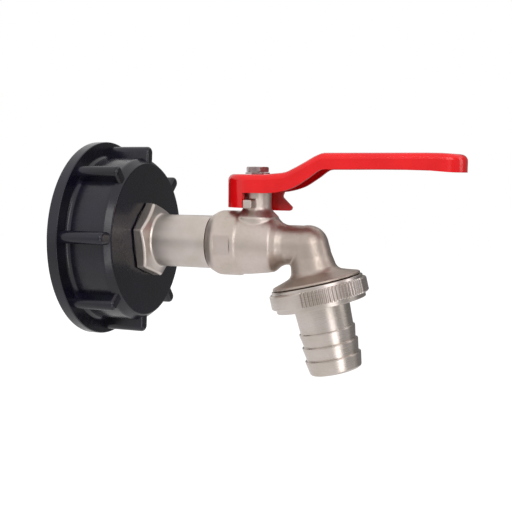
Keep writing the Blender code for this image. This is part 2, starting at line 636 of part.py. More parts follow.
def make_stem():
    """Stem with its tang and flats, thrust washer and two sealing rings."""
    stem = turned("stem", stem_profile(), FINE_SEGMENTS, closed=False, material="nickel_plate",
                  place=STEM_FOOT_POINT)
    tang_half = SLOT_WIDTH / 2 - GAP
    tang = block("stem_tang", (-tang_half, -TANG_WIDTH / 2, SLOT_FLOOR + GAP),
                 (tang_half, TANG_WIDTH / 2, STEM_FOOT + BURY / 2), place=STEM_FOOT_POINT)
    combine(stem, tang, "UNION")
    for name, side in (("stem_flat_near", -1), ("stem_flat_far", 1)):
        low = min(side * STEM_FLATS / 2, side * (STEM_FLATS / 2 + STEM_RADIUS))
        flat = block(name, (-STEM_RADIUS - BURY, low, LEVER_UNDERSIDE - THIN_GAP),
                     (STEM_RADIUS + BURY, low + STEM_RADIUS, STEM_TOP + BURY), place=STEM_FOOT_POINT)
        combine(stem, flat, "DIFFERENCE")
    turned("thrust_washer", ring_profile(STEM_RADIUS + THIN_GAP, STEM_FOOT_RADIUS, THRUST_Z,
                                         THRUST_Z + THRUST_THICKNESS),
           FINE_SEGMENTS, material="white_seal", place=STEM_FOOT_POINT)
    centre = (RING_BORE + STEM_RADIUS - RING_GROOVE_DEPTH) / 2
    for name, height in (("lower_stem_ring", LOWER_RING_Z), ("upper_stem_ring", UPPER_RING_Z)):
        section = polygon(RING_FACETS, RING_SECTION, 90.0)[::-1]
        section = [(centre + radius, height + rise) for radius, rise in section]
        turned(name, section, FINE_SEGMENTS, material="black_rubber", place=STEM_FOOT_POINT)


def follow(line, x):
    """Smooth height of a line of (x, z) points at x, level past its ends."""
    if x <= line[0][0]:
        return line[0][1]
    if x >= line[-1][0]:
        return line[-1][1]
    slopes = [(b[1] - a[1]) / (b[0] - a[0]) for a, b in zip(line, line[1:])]
    tangents = [0.0] + [(a + b) / 2 if a * b > 0 else 0.0 for a, b in zip(slopes, slopes[1:])] + [0.0]
    index = next(i for i in range(len(slopes)) if x <= line[i + 1][0])
    (x0, z0), (x1, z1) = line[index], line[index + 1]
    width = x1 - x0
    t = (x - x0) / width
    start = (2 * t ** 3 - 3 * t ** 2 + 1) * z0 + (t ** 3 - 2 * t ** 2 + t) * width * tangents[index]
    return start + (3 * t ** 2 - 2 * t ** 3) * z1 + (t ** 3 - t ** 2) * width * tangents[index + 1]


def lever_top(x):
    """Height of the lever's top sheet."""
    rise = (LEVER_HANDLE_TOP - LEVER_HUB_TOP) / LEVER_TOP_LINE[-1][1]
    reach = max(0.0, x - LEVER_TIP + LEVER_DROOP_LENGTH) / LEVER_DROOP_LENGTH
    return LEVER_HUB_TOP + rise * follow(LEVER_TOP_LINE, x) - LEVER_DROOP * reach ** 2


def lever_stations():
    """Half outline of the lever seen from above, from rear to tip."""
    round_rear, round_tip = LEVER_REAR_ROUND, LEVER_HALF_WIDTH
    quarter = [math.pi / 2 * i / LEVER_ROUND_STEPS for i in range(LEVER_ROUND_STEPS)]
    rear = [(round_rear * (1 - math.cos(a)) - LEVER_REAR, LEVER_HALF_WIDTH * math.sin(a)) for a in quarter]
    tip = [(LEVER_TIP - round_tip * (1 - math.cos(a)), LEVER_HALF_WIDTH * math.sin(a)) for a in quarter]
    bend_start, bend_end = LEVER_TOP_LINE[0][0], LEVER_TOP_LINE[-1][0]
    bend = [bend_start + (bend_end - bend_start) * i / LEVER_BEND_STEPS for i in range(LEVER_BEND_STEPS + 1)]
    sides = [round_rear - LEVER_REAR] + bend + [LEVER_TIP - LEVER_DROOP_LENGTH, LEVER_TIP - round_tip]
    return rear + [(x, LEVER_HALF_WIDTH) for x in sides] + tip[::-1]


def inset_loop(loop, distance):
    """Move a closed outline inwards."""
    moved = []
    for index, point in enumerate(loop):
        before, after = loop[index - 1], loop[(index + 1) % len(loop)]
        along = Vector((after[0] - before[0], after[1] - before[1])).normalized()
        moved.append((point[0] + along.y * distance, point[1] - along.x * distance))
    return moved


def make_lever_sheet():
    """Open surface of the pressed lever: a wall all round and a top sheet."""
    stations = lever_stations()
    last = len(stations) - 1
    loop = stations + [(x, -y) for x, y in stations[-2:0:-1]]
    bm = bmesh.new()
    rings = [[bm.verts.new((x * MM, y * MM, (LEVER_FOOT - BURY) * MM)) for x, y in loop]]
    for turn in (0.0, 30.0, 60.0, 90.0):
        share, drop = 1.0 - math.cos(math.radians(turn)), 1.0 - math.sin(math.radians(turn))
        inner = inset_loop(loop, LEVER_FILLET * share)
        rings.append([bm.verts.new((x * MM, y * MM, (lever_top(x) - LEVER_FILLET * drop) * MM))
                      for x, y in inner])
    for lower, upper in zip(rings, rings[1:]):
        for i in range(len(loop)):
            j = (i + 1) % len(loop)
            bm.faces.new((lower[j], lower[i], upper[i], upper[j]))
    top = rings[-1]
    for i in range(last):
        corners = [top[i], top[-i], top[-i - 1], top[i + 1]]
        bm.faces.new(list(dict.fromkeys(corners)))
    return mesh_from("lever", bm)


def trim_outlines():
    """Side outlines of what is cut away below the lever's edge, near and far."""
    below, past = LEVER_FOOT - 2 * BURY, LEVER_TIP + BURY
    first, bend_end = FRONT_TAB_START + FRONT_TAB[-1][0], LEVER_TOP_LINE[-1][0]
    edge = LEVER_EDGE_LINE[0][1]
    bend = [first + (bend_end - first) * i / LEVER_EDGE_STEPS for i in range(1, LEVER_EDGE_STEPS + 1)]
    places = bend + [x for x, _ in LEVER_EDGE_LINE if x > bend_end]
    line = [(x, follow(LEVER_EDGE_LINE, x)) for x in places]
    line += [(past, LEVER_EDGE_LINE[-1][1]), (past, below)]
    near = [(REAR_TAB_END, below), (REAR_TAB_END, edge), (LEVER_EDGE_LINE[0][0], edge)] + line
    tab = [(FRONT_TAB_START + x, z) for x, z in FRONT_TAB]
    far = [(-LEVER_REAR - BURY, below), (-LEVER_REAR - BURY, edge), (FRONT_TAB_START, edge)] + tab + line
    return near, far


def make_lever():
    """Pressed red lever with its stop tabs and the hole for the stem."""
    lever = add_object("lever", make_lever_sheet(), material="red_paint", place=STEM_FOOT_POINT)
    shell = lever.modifiers.new("Sheet", "SOLIDIFY")
    shell.thickness = LEVER_SHEET * MM
    shell.offset = -1.0
    shell.use_even_offset = True
    near, far = trim_outlines()
    reach = LEVER_HALF_WIDTH + BURY
    on_edge = {"place": STEM_FOOT_POINT, "turn": (math.radians(90.0), 0.0, 0.0), "cutter": True}
    combine(lever, prism("near_trim", near, -REAR_TAB_SIDE, reach, **on_edge), "DIFFERENCE")
    combine(lever, prism("far_trim", far, -reach, -REAR_TAB_SIDE + SKIN, **on_edge), "DIFFERENCE")
    combine(lever, block("rear_trim", (-LEVER_REAR - BURY, -reach, LEVER_FOOT - 2 * BURY),
                         (REAR_TAB_END + BURY, REAR_TAB_SIDE - SKIN / 2, REAR_TAB_FOOT),
                         place=STEM_FOOT_POINT), "DIFFERENCE")
    radius, half = STEM_RADIUS + GAP, STEM_FLATS / 2 + THIN_GAP
    reach = math.sqrt(radius ** 2 - half ** 2)
    turn = math.degrees(math.atan2(half, reach))
    side = arc((0.0, 0.0), radius, -turn, turn, STEM_HOLE_STEPS)
    hole = side + [(-x, -y) for x, y in side]
    combine(lever, prism("stem_hole", hole, LEVER_UNDERSIDE - BURY, LEVER_HUB_TOP + BURY,
                         place=STEM_FOOT_POINT, cutter=True), "DIFFERENCE")


def make_lever_fixing():
    """Lock washer and nut on the stem's thread."""
    turned("lock_washer", ring_profile(STEM_THREAD_RADIUS + THIN_GAP, LOCK_WASHER_RADIUS, WASHER_Z,
                                       WASHER_Z + LOCK_WASHER_THICKNESS),
           FINE_SEGMENTS, material="zinc_steel", place=STEM_FOOT_POINT)
    corner = LEVER_NUT_FLATS / math.sqrt(3.0)
    top = LEVER_NUT_Z + LEVER_NUT_HEIGHT
    edge = LEVER_NUT_CHAMFER
    profile = [(corner - edge, top), (corner + edge, top - edge), (corner + edge, LEVER_NUT_Z)]
    profile += [(LEVER_NUT_BORE, LEVER_NUT_Z), (LEVER_NUT_BORE, top)]
    nut = turned("lever_nut", profile, FINE_SEGMENTS, material="zinc_steel", place=STEM_FOOT_POINT)
    combine(nut, prism("nut_trim", polygon(6, corner), LEVER_NUT_Z - BURY, top + BURY,
                       place=STEM_FOOT_POINT, cutter=True), "INTERSECT")


def make_coupling_nut():
    """Coupling nut: knurled band between two lips, with a foot that holds the tail."""
    band = NUT_START + NUT_BAND_START
    band_end = band + NUT_BAND_LENGTH
    knurl = []
    for i in range(KNURL_COUNT * 2):
        a = math.pi * i / KNURL_COUNT
        radius = NUT_BAND_RADIUS - (KNURL_DEPTH if i % 2 else 0.0)
        knurl.append((radius * math.cos(a), radius * math.sin(a)))
    nut = prism("coupling_nut", knurl, band, band_end, material="nickel_plate",
                place=ELBOW_POINT, turn=DOWN_SPOUT)
    lips = [(0.0, NUT_END), (NUT_FOOT_LIP - NUT_EDGE, NUT_END), (NUT_FOOT_LIP, NUT_END - NUT_EDGE)]
    lips += [(NUT_FOOT_LIP, band_end - BURY / 2), (NUT_TOP_LIP, band + BURY / 2)]
    lips += [(NUT_TOP_LIP, NUT_START + NUT_EDGE), (NUT_TOP_LIP - NUT_EDGE, NUT_START), (0.0, NUT_START)]
    combine(nut, turned("nut_lips", lips, CAP_SEGMENTS, closed=False, place=ELBOW_POINT,
                        turn=DOWN_SPOUT, cutter=True), "UNION")
    bore = [(0.0, NUT_END + BURY), (SHANK_HOLE, NUT_END + BURY), (SHANK_HOLE, NUT_END - NUT_FOOT_WALL)]
    bore += [(NUT_BORE, NUT_END - NUT_FOOT_WALL), (NUT_BORE, NUT_START - BURY), (0.0, NUT_START - BURY)]
    combine(nut, turned("nut_bore", bore, BODY_SEGMENTS, closed=False, place=ELBOW_POINT,
                        turn=DOWN_SPOUT, cutter=True), "DIFFERENCE")


def tail_profile():
    """Hose tail from its rounded end up to its collar."""
    profile = [(TAIL_BORE + TAIL_MOUTH, TAIL_END)]
    last = BARB_START + BARB_PITCH * (BARB_COUNT - 1)
    centre = (BARB_ROOT - TAIL_TIP_STEP - TAIL_ROUND, TAIL_END - TAIL_ROUND)
    profile += arc(centre, TAIL_ROUND, 90.0, 0.0, TAIL_ROUND_STEPS)
    for index in reversed(range(BARB_COUNT)):
        crest = BARB_START + BARB_PITCH * index
        if crest < last:
            profile.append((BARB_ROOT, crest + BARB_PITCH - BARB_SLOPE))
        profile += [(BARB_RADIUS, crest + BARB_EDGE), (BARB_RADIUS - BARB_SLOPE, crest)]
    profile += [(SHANK_END_RADIUS, BARB_START - BARB_SLOPE), (SHANK_RADIUS, NUT_END - NUT_FOOT_WALL / 3)]
    profile += [(SHANK_RADIUS, COLLAR_END), (COLLAR_RADIUS, COLLAR_END), (COLLAR_RADIUS, COLLAR_START)]
    return profile + [(TAIL_BORE, COLLAR_START), (TAIL_BORE, TAIL_END - TAIL_MOUTH)]


def make_hose_tail():
    """Barbed hose tail and the washer that seals it to the spigot."""
    turned("hose_tail", tail_profile(), BODY_SEGMENTS, material="nickel_plate", place=ELBOW_POINT,
           turn=DOWN_SPOUT)
    end = HOSE_WASHER_START + HOSE_WASHER_THICKNESS
    turned("hose_washer", ring_profile(HOSE_WASHER_BORE, HOSE_WASHER_RADIUS, HOSE_WASHER_START, end),
           BODY_SEGMENTS, material="black_rubber", place=ELBOW_POINT, turn=DOWN_SPOUT)


def main():
    """Build the adapter."""
    global PARTS, CUTTERS
    clear_scene()
    PARTS = make_collection("tap_adapter")
    CUTTERS = make_collection("cutters")
    make_materials()
    make_cap()
    make_inlet()
    make_body()
    make_ball_and_seats()
    make_stem()
    make_lever()
    make_lever_fixing()
    make_coupling_nut()
    make_hose_tail()


main()
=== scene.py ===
"""Looks of the tap adapter: fine surfaces, materials, studio and camera.

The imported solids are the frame. Nine pieces are modelled again here at full
smoothness, in the same place, and each stands for its solid. The other nine,
hidden or nearly so, keep their solids and get a finish. Sizes are in
millimetres in the frame's axes: +X along the pipe, +Z up, and the origin at
the centre of the cap's mouth.
"""

import math

import bpy
from mathutils import Matrix, Vector


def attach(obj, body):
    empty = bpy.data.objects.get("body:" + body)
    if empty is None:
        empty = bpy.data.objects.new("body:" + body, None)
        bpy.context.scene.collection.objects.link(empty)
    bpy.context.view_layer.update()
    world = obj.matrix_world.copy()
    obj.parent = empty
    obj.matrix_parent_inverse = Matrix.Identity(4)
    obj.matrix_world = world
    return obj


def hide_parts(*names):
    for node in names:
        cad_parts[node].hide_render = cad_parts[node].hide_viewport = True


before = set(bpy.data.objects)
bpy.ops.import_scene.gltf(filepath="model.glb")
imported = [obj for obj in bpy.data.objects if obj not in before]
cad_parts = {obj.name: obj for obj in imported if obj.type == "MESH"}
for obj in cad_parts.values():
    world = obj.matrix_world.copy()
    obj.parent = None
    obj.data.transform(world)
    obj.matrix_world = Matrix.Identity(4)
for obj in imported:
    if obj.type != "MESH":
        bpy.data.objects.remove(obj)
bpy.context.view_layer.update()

MM = 0.001

# Camera, angles in degrees
CAMERA_AZIMUTH = 18.71
CAMERA_ELEVATION = 6.05
CAMERA_ROLL = 0.5
CAMERA_DISTANCE = 0.300
CAMERA_TARGET = (69.43, 0.0, -4.93)
FOCAL_PIXELS = 758.5
PHOTO_WIDTH = 512

# Studio, in metres, with brightness 1 for the white of the surroundings
STUDIO_MIDDLE = Vector((0.07, 0.0, 0.0))
FLOOR_SIZE = 6.0
FLOOR_Z = -0.30
FLOOR_GREY = 0.25
FILL_LEVEL = 0.26
FLOOR_LIFT = 1.0
FLOOR_MIRROR = 0.7

# Screw cap
FLANGE_RADIUS = 40.0
FLANGE_TOP = 4.4
FLANGE_EDGE = 0.4
WALL_FOOT = 1.6
WALL_FOOT_TOP = 6.4
CAP_FACE = 22.6
WALL_RADIUS = 33.4
CHAMFER_IN = 2.2
CHAMFER_DOWN = 2.8
PLATE_INNER = 19.0
RIB_COUNT = 8
RIB_TURN = -4.9
RIB_RADIUS = 38.3
RIB_WIDTH = 5.0
RIB_END = 22.1
RIB_BACK_ROUND = 2.4
RIB_END_ROUND = 1.5
THREAD_ROOT = 30.2
THREAD_CREST = 27.6
THREAD_PITCH = 6.0
THREAD_START = 4.6
THREAD_DEPTH = 2.6
THREAD_TURNS = 2.0
BOSS_RADIUS = 14.7
BOSS_END = 12.0
CENTRE_BORE = 10.7
GASKET = (19.3, 27.3, 15.7, 18.7)

# Inlet connector
CONNECTOR_START = 10.6
CONNECTOR_END = 62.57
TAIL_RADIUS = 10.4
TUBE_RADIUS = 10.6
TUBE_BORE = 7.0
HEX_FLATS = 27.0
HEX_TURN = 11.5
HEX_START = 23.2
HEX_END = 26.7
JOINT_X = 51.4
SCREWED_END = 58.4
SCREWED_RADIUS = 9.4
SEAT_RADIUS = 8.2
WATER_BORE = 5.2

# Valve body
BODY_START = 51.7
SHOULDER_X = 64.4
SHOULDER_RADIUS = 12.85
BARREL_RADIUS = 12.2
BARREL_END_RADIUS = 11.1
BARREL_END_X = 76.0
PIPE_X = 81.4
PIPE_RADIUS = 7.7
STEM_X = 69.8
NECK_RADIUS = 5.6
NECK_TOP = 21.5
LUG_TOP = 17.5
LUG_FOOT = 14.1
LUG_WIDTH = 3.8
LUG_REACH = 9.5
LUG_TURN = 263.0
WRENCH_FLAT = (55.7, 62.7)
WRENCH_FLAT_SIDE = 12.3
SKIN_VOXEL = 0.33
CHAMBER_RADIUS = 8.5
CHAMBER_END = 77.03
STEM_BORE = 3.3

# Spout, its nut and its hose tail, along the spout's axis from the elbow
ELBOW_X = 90.7
SPOUT_TILT = 14.0
SPOUT_RADIUS = 7.9
SPOUT_ROOT_RADIUS = 8.4
FLARE_RADIUS = 17.3
FLARE_END = 14.3
SPIGOT_RADIUS = 16.3
SPIGOT_END = 17.9
NUT_START = 14.6
NUT_END = 23.3
NUT_BAND = (15.8, 21.5)
NUT_BAND_RADIUS = 19.1
NUT_TOP_LIP = 17.9
NUT_FOOT_LIP = 17.5
NUT_BORE = 16.6
NUT_FOOT_WALL = 1.5
SHANK_HOLE = 11.5
KNURL_COUNT = 84
KNURL_DEPTH = 0.6
KNURL_MIDDLE = -124.5
KNURL_HALF = 41.0
COLLAR = (19.9, 21.5)
COLLAR_RADIUS = 15.8
TAIL_BORE = 8.0
TAIL_END = 49.4
SHANK_RADIUS = 10.9
SHANK_END_RADIUS = 10.4
BARB_START = 33.0
BARB_PITCH = 5.3
BARB_COUNT = 3
BARB_RADIUS = 11.0
BARB_ROOT = 10.15

# Lever, stem and nut, from the stem's axis
SHEET = 1.8
HALF_WIDTH = 9.0
LEVER_REAR = -11.6
LEVER_TIP = 79.2
REAR_ROUND = 8.0
REAR_OVAL = 12.2
REAR_OVAL_END = 0.4
TIP_ROUND = 8.8
TOP_LINE = ((3.0, 27.2), (9.3, 27.6), (13.6, 28.2), (16.4, 29.5), (20.9, 31.9), (25.0, 34.2), (28.3, 35.3))
EDGE_LINE = ((4.0, 20.1), (10.5, 20.5), (17.3, 22.5), (22.6, 25.8), (28.2, 29.2),
             (65.0, 29.1), (71.5, 28.6), (79.2, 28.4))
DROOP = 0.6
DROOP_LENGTH = 14.0
TAB_GAP = 3.34
REAR_TAB_FOOT = 14.3
REAR_TAB_SIDE = 3.0
HUB_TOP = 27.2
WASHER_Z = 27.4
LEVER_NUT_Z = 28.0
LEVER_NUT_TOP = 30.1
LEVER_NUT_FLATS = 8.0
STEM_RADIUS = 3.0

ORIGIN = (0.0, 0.0, 0.0)
UPRIGHT = (0.0, 0.0, 0.0)
ALONG_PIPE = (0.0, math.radians(90.0), 0.0)
DOWN_SPOUT = (0.0, math.radians(180.0 - SPOUT_TILT), 0.0)
STEM_FOOT = (STEM_X, 0.0, 0.0)
ELBOW = (ELBOW_X, 0.0, 0.0)


def deselect():
    """Leave edit mode and select nothing."""
    if bpy.context.mode != "OBJECT":
        bpy.ops.object.mode_set(mode="OBJECT")
    bpy.ops.object.select_all(action="DESELECT")


def pick(piece):
    """Make one piece the selected and active one."""
    deselect()
    piece.select_set(True)
    bpy.context.view_layer.objects.active = piece


def edit(piece, kind="VERT"):
    """Open a piece in edit mode with everything selected."""
    pick(piece)
    bpy.ops.object.mode_set(mode="EDIT")
    bpy.ops.mesh.select_mode(type=kind)
    bpy.ops.mesh.select_all(action="SELECT")


def edit_where(piece, kind, test):
    """Open a piece in edit mode with the vertices, edges or faces that pass a test selected."""
    edit(piece, kind)
    bpy.ops.mesh.select_all(action="DESELECT")
    bpy.ops.object.mode_set(mode="OBJECT")
    items = {"VERT": piece.data.vertices, "EDGE": piece.data.edges, "FACE": piece.data.polygons}[kind]
    for item in items:
        item.select = test(item)
    bpy.ops.object.mode_set(mode="EDIT")


def shape(piece, kind, **settings):
    """Apply one modifier to a piece."""
    pick(piece)
    modifier = piece.modifiers.new(kind.title(), kind)
    for name, value in settings.items():
        setattr(modifier, name, value)
    bpy.ops.object.modifier_apply(modifier=modifier.name)


def settle(piece, place=ORIGIN, turn=UPRIGHT):
    """Move a piece to its place and put that place into its mesh."""
    pick(piece)
    piece.location = Vector(place) * MM
    piece.rotation_euler = turn
    bpy.ops.object.transform_apply(location=True, rotation=True, scale=True)


def smooth(piece, angle=35.0):
    """Shade round surfaces smoothly and keep flat faces flat."""
    pick(piece)
    bpy.ops.object.shade_smooth_by_angle(angle=math.radians(angle))
    shape(piece, "WEIGHTED_NORMAL", keep_sharp=True, weight=80)


def cut(piece, tool, operation="DIFFERENCE"):
    """Boolean a piece with a tool, and remove the tool."""
    shape(piece, "BOOLEAN", operation=operation, object=tool, solver="EXACT")
    bpy.data.objects.remove(tool, do_unlink=True)


def fillet(before, corner, after, radius, steps=5):
    """Points of the arc that rounds one corner of an outline."""
    back, ahead = before - corner, after - corner
    half = back.angle(ahead) / 2
    if radius <= 0 or half > math.radians(88.0):
        return [corner]
    reach = min(radius / math.tan(half), back.length * 0.49, ahead.length * 0.49)
    start, end = corner + back.normalized() * reach, corner + ahead.normalized() * reach
    middle = corner + (back.normalized() + ahead.normalized()).normalized() * (reach / math.cos(half))
    first = math.atan2(*(start - middle).yx)
    sweep = (math.atan2(*(end - middle).yx) - first + math.pi) % (2 * math.pi) - math.pi
    size = (start - middle).length
    angles = [first + sweep * i / steps for i in range(steps + 1)]
    return [middle + Vector((math.cos(a), math.sin(a))) * size for a in angles]


def rounded(outline, closed=True):
    """Outline of (x, y, corner radius) with its corners rounded."""
    points = [Vector(p[:2]) for p in outline]
    path = []
    for i, (point, entry) in enumerate(zip(points, outline)):
        ends = not closed and i in (0, len(points) - 1)
        if len(entry) < 3 or ends:
            path.append(point)
        else:
            path += fillet(points[i - 1], point, points[(i + 1) % len(points)], entry[2])
    return path


def draw(name, path, closed):
    """Draw a path of (radius, height) by extruding one vertex along it."""
    deselect()
    bpy.ops.mesh.primitive_plane_add(size=MM)
    piece = bpy.context.object
    piece.name = name
    edit(piece)
    bpy.ops.mesh.merge(type="CENTER")
    bpy.ops.transform.translate(value=(path[0].x * MM, 0.0, path[0].y * MM))
    for start, end in zip(path, path[1:]):
        step = (end - start) * MM
        bpy.ops.mesh.extrude_region_move(TRANSFORM_OT_translate={"value": (step.x, 0.0, step.y)})
    if closed:
        across, up = (path[0].x - path[-1].x) * MM, (path[0].y - path[-1].y) * MM
        bpy.ops.mesh.extrude_region_move(TRANSFORM_OT_translate={"value": (across, 0.0, up)})
        bpy.ops.mesh.select_all(action="SELECT")
        bpy.ops.mesh.remove_doubles(threshold=0.002 * MM)
    return piece


def lathe(name, outline, steps=128, closed=True, place=ORIGIN, turn=UPRIGHT):
    """Turned piece: an outline of (radius, height, corner radius) spun about its axis."""
    piece = draw(name, rounded(outline, closed), closed)
    bpy.ops.mesh.select_all(action="SELECT")
    bpy.ops.mesh.spin(steps=steps, angle=2 * math.pi, center=(0.0, 0.0, 0.0), axis=(0.0, 0.0, 1.0))
    bpy.ops.mesh.select_all(action="SELECT")
    bpy.ops.mesh.remove_doubles(threshold=0.002 * MM)
    bpy.ops.mesh.normals_make_consistent(inside=False)
    settle(piece, place, turn)
    return piece


def bar(name, low, high, place=ORIGIN, turn=UPRIGHT, edge=0.0):
    """Box between two corners, with rounded edges."""
    deselect()
    size = Vector(high) - Vector(low)
    bpy.ops.mesh.primitive_cube_add(size=1.0, location=(Vector(high) + Vector(low)) / 2 * MM, scale=size * MM)
    piece = bpy.context.object
    piece.name = name
    bpy.ops.object.transform_apply(location=True, rotation=True, scale=True)
    if edge:
        shape(piece, "BEVEL", width=edge * MM, segments=3, limit_method="NONE")
    settle(piece, place, turn)
    return piece


def column(name, corners, radius, low, high, first=0.0, place=ORIGIN, turn=UPRIGHT):
    """Prism with regular corners, the first of them at an angle from local X."""
    deselect()
    bpy.ops.mesh.primitive_cylinder_add(vertices=corners, radius=radius * MM, depth=(high - low) * MM,
                                        location=(0.0, 0.0, (high + low) / 2 * MM))
    piece = bpy.context.object
    piece.name = name
    edge = math.radians(first) - math.radians(90.0)
    piece.rotation_euler = (0.0, 0.0, edge)
    bpy.ops.object.transform_apply(location=True, rotation=True, scale=True)
    settle(piece, place, turn)
    return piece


def follow(line, x):
    """Smooth height of a line of (x, height) points, level past its ends."""
    if x <= line[0][0]:
        return line[0][1]
    if x >= line[-1][0]:
        return line[-1][1]
    slopes = [(b[1] - a[1]) / (b[0] - a[0]) for a, b in zip(line, line[1:])]
    tangents = [0.0] + [(a + b) / 2 if a * b > 0 else 0.0 for a, b in zip(slopes, slopes[1:])] + [0.0]
    index = next(i for i in range(len(slopes)) if x <= line[i + 1][0])
    (x0, z0), (x1, z1) = line[index], line[index + 1]
    width = x1 - x0
    t = (x - x0) / width
    start = (2 * t ** 3 - 3 * t ** 2 + 1) * z0 + (t ** 3 - 2 * t ** 2 + t) * width * tangents[index]
    return start + (3 * t ** 2 - 2 * t ** 3) * z1 + (t ** 3 - t ** 2) * width * tangents[index + 1]


def cap_ribs():
    """Eight half-round grip ribs with softened ends."""
    ribs = []
    for index in range(RIB_COUNT):
        angle = math.radians(RIB_TURN + 360.0 * index / RIB_COUNT)
        rib = bar(f"cap_rib_{index}", (WALL_RADIUS - 2.0, -RIB_WIDTH / 2, FLANGE_TOP - 1.0),
                  (RIB_RADIUS, RIB_WIDTH / 2, RIB_END))
        edit_where(rib, "EDGE", lambda e, m=rib.data: all(
            m.vertices[v].co.x > (RIB_RADIUS - 0.1) * MM for v in e.vertices)
            and any(m.vertices[v].co.z < FLANGE_TOP * MM for v in e.vertices)
            and any(m.vertices[v].co.z > FLANGE_TOP * MM for v in e.vertices))
        bpy.ops.mesh.bevel(offset=RIB_BACK_ROUND * MM, segments=12, profile=0.5, affect="EDGES")
        edit_where(rib, "EDGE", lambda e, m=rib.data: all(
            m.vertices[v].co.z > (RIB_END - 0.1) * MM for v in e.vertices)
            and any(m.vertices[v].co.x > WALL_RADIUS * MM for v in e.vertices))
        bpy.ops.mesh.bevel(offset=RIB_END_ROUND * MM, segments=4, profile=0.5, affect="EDGES")
        settle(rib, turn=(0.0, 0.0, angle))
        ribs.append(rib)
    return ribs


def cap_thread():
    """Buttress thread inside the cap, two turns."""
    section = [(THREAD_ROOT + 0.7, -THREAD_DEPTH - 0.7), (THREAD_CREST, 0.0, 0.35), (THREAD_CREST, 0.9, 0.35),
               (THREAD_ROOT + 0.7, 1.2)]
    path = [Vector((p.x, p.y + THREAD_START)) for p in rounded(section)]
    thread = draw("cap_thread", path, True)
    bpy.ops.object.mode_set(mode="OBJECT")
    steps = round(96 * THREAD_TURNS)
    shape(thread, "SCREW", angle=2 * math.pi * THREAD_TURNS, screw_offset=THREAD_PITCH * THREAD_TURNS * MM,
          steps=steps, render_steps=steps, merge_threshold=0.00001)
    edit(thread, "EDGE")
    bpy.ops.mesh.select_all(action="DESELECT")
    bpy.ops.mesh.select_non_manifold()
    bpy.ops.mesh.edge_face_add()
    bpy.ops.mesh.select_all(action="DESELECT")
    bpy.ops.mesh.select_non_manifold()
    bpy.ops.mesh.edge_face_add()
    bpy.ops.mesh.select_all(action="SELECT")
    bpy.ops.mesh.normals_make_consistent(inside=False)
    return thread


def make_cap():
    """Moulded cap with flange, ribs, thread and centre boss."""
    outline = [(WALL_RADIUS - CHAMFER_IN, CAP_FACE, 1.2), (WALL_RADIUS, CAP_FACE - CHAMFER_DOWN, 2.0)]
    outline += [(WALL_RADIUS, WALL_FOOT_TOP), (WALL_RADIUS + WALL_FOOT * 0.14, FLANGE_TOP + 1.1)]
    outline += [(WALL_RADIUS + WALL_FOOT * 0.45, FLANGE_TOP + 0.45)]
    outline += [(WALL_RADIUS + WALL_FOOT, FLANGE_TOP + 0.03)]
    outline += [(FLANGE_RADIUS, FLANGE_TOP, FLANGE_EDGE), (FLANGE_RADIUS, 0.0, FLANGE_EDGE)]
    outline += [(THREAD_ROOT + 1.0, 0.0, 0.3), (THREAD_ROOT, 1.0, 0.3), (THREAD_ROOT, PLATE_INNER, 1.0)]
    outline += [(BOSS_RADIUS, PLATE_INNER, 0.8), (BOSS_RADIUS, BOSS_END, 0.5)]
    outline += [(CENTRE_BORE, BOSS_END, 0.3), (CENTRE_BORE, CAP_FACE, 0.3)]
    cap = lathe("cap_moulding", outline, steps=160)
    for rib in cap_ribs():
        cut(cap, rib, "UNION")
    cut(cap, cap_thread(), "UNION")
    settle(cap, turn=ALONG_PIPE)
    smooth(cap, 30.0)
    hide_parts("adapter_cap")
    return cap


def make_gasket():
    """Flat ring that seals on the container's rim, with two fine ridges."""
    inner, outer, start, end = GASKET
    middle = (inner + outer) / 2
    outline = [(outer, end, 0.4), (outer, start, 0.4)]
    outline += [(middle + 2.2, start), (middle + 1.7, start + 0.35, 0.2)]
    outline += [(middle + 1.2, start), (middle - 1.2, start), (middle - 1.7, start + 0.35, 0.2)]
    outline += [(middle - 2.2, start), (inner, start, 0.4), (inner, end, 0.4)]
    gasket = lathe("gasket_ring", outline, steps=128, turn=ALONG_PIPE)
    smooth(gasket)
    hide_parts("cap_gasket")
    return gasket


def creases(mesh, inside, angle=25.0):
    """Keys of the edges in a place where the surface turns by more than an angle."""
    sides = {}
    for face in mesh.polygons:
        for key in face.edge_keys:
            sides.setdefault(key, []).append(face.normal)
    return {key for key, normals in sides.items()
            if len(normals) == 2 and normals[0].angle(normals[1], 0.0) > math.radians(angle)
            and all(inside(mesh.vertices[v].co) for v in key)}


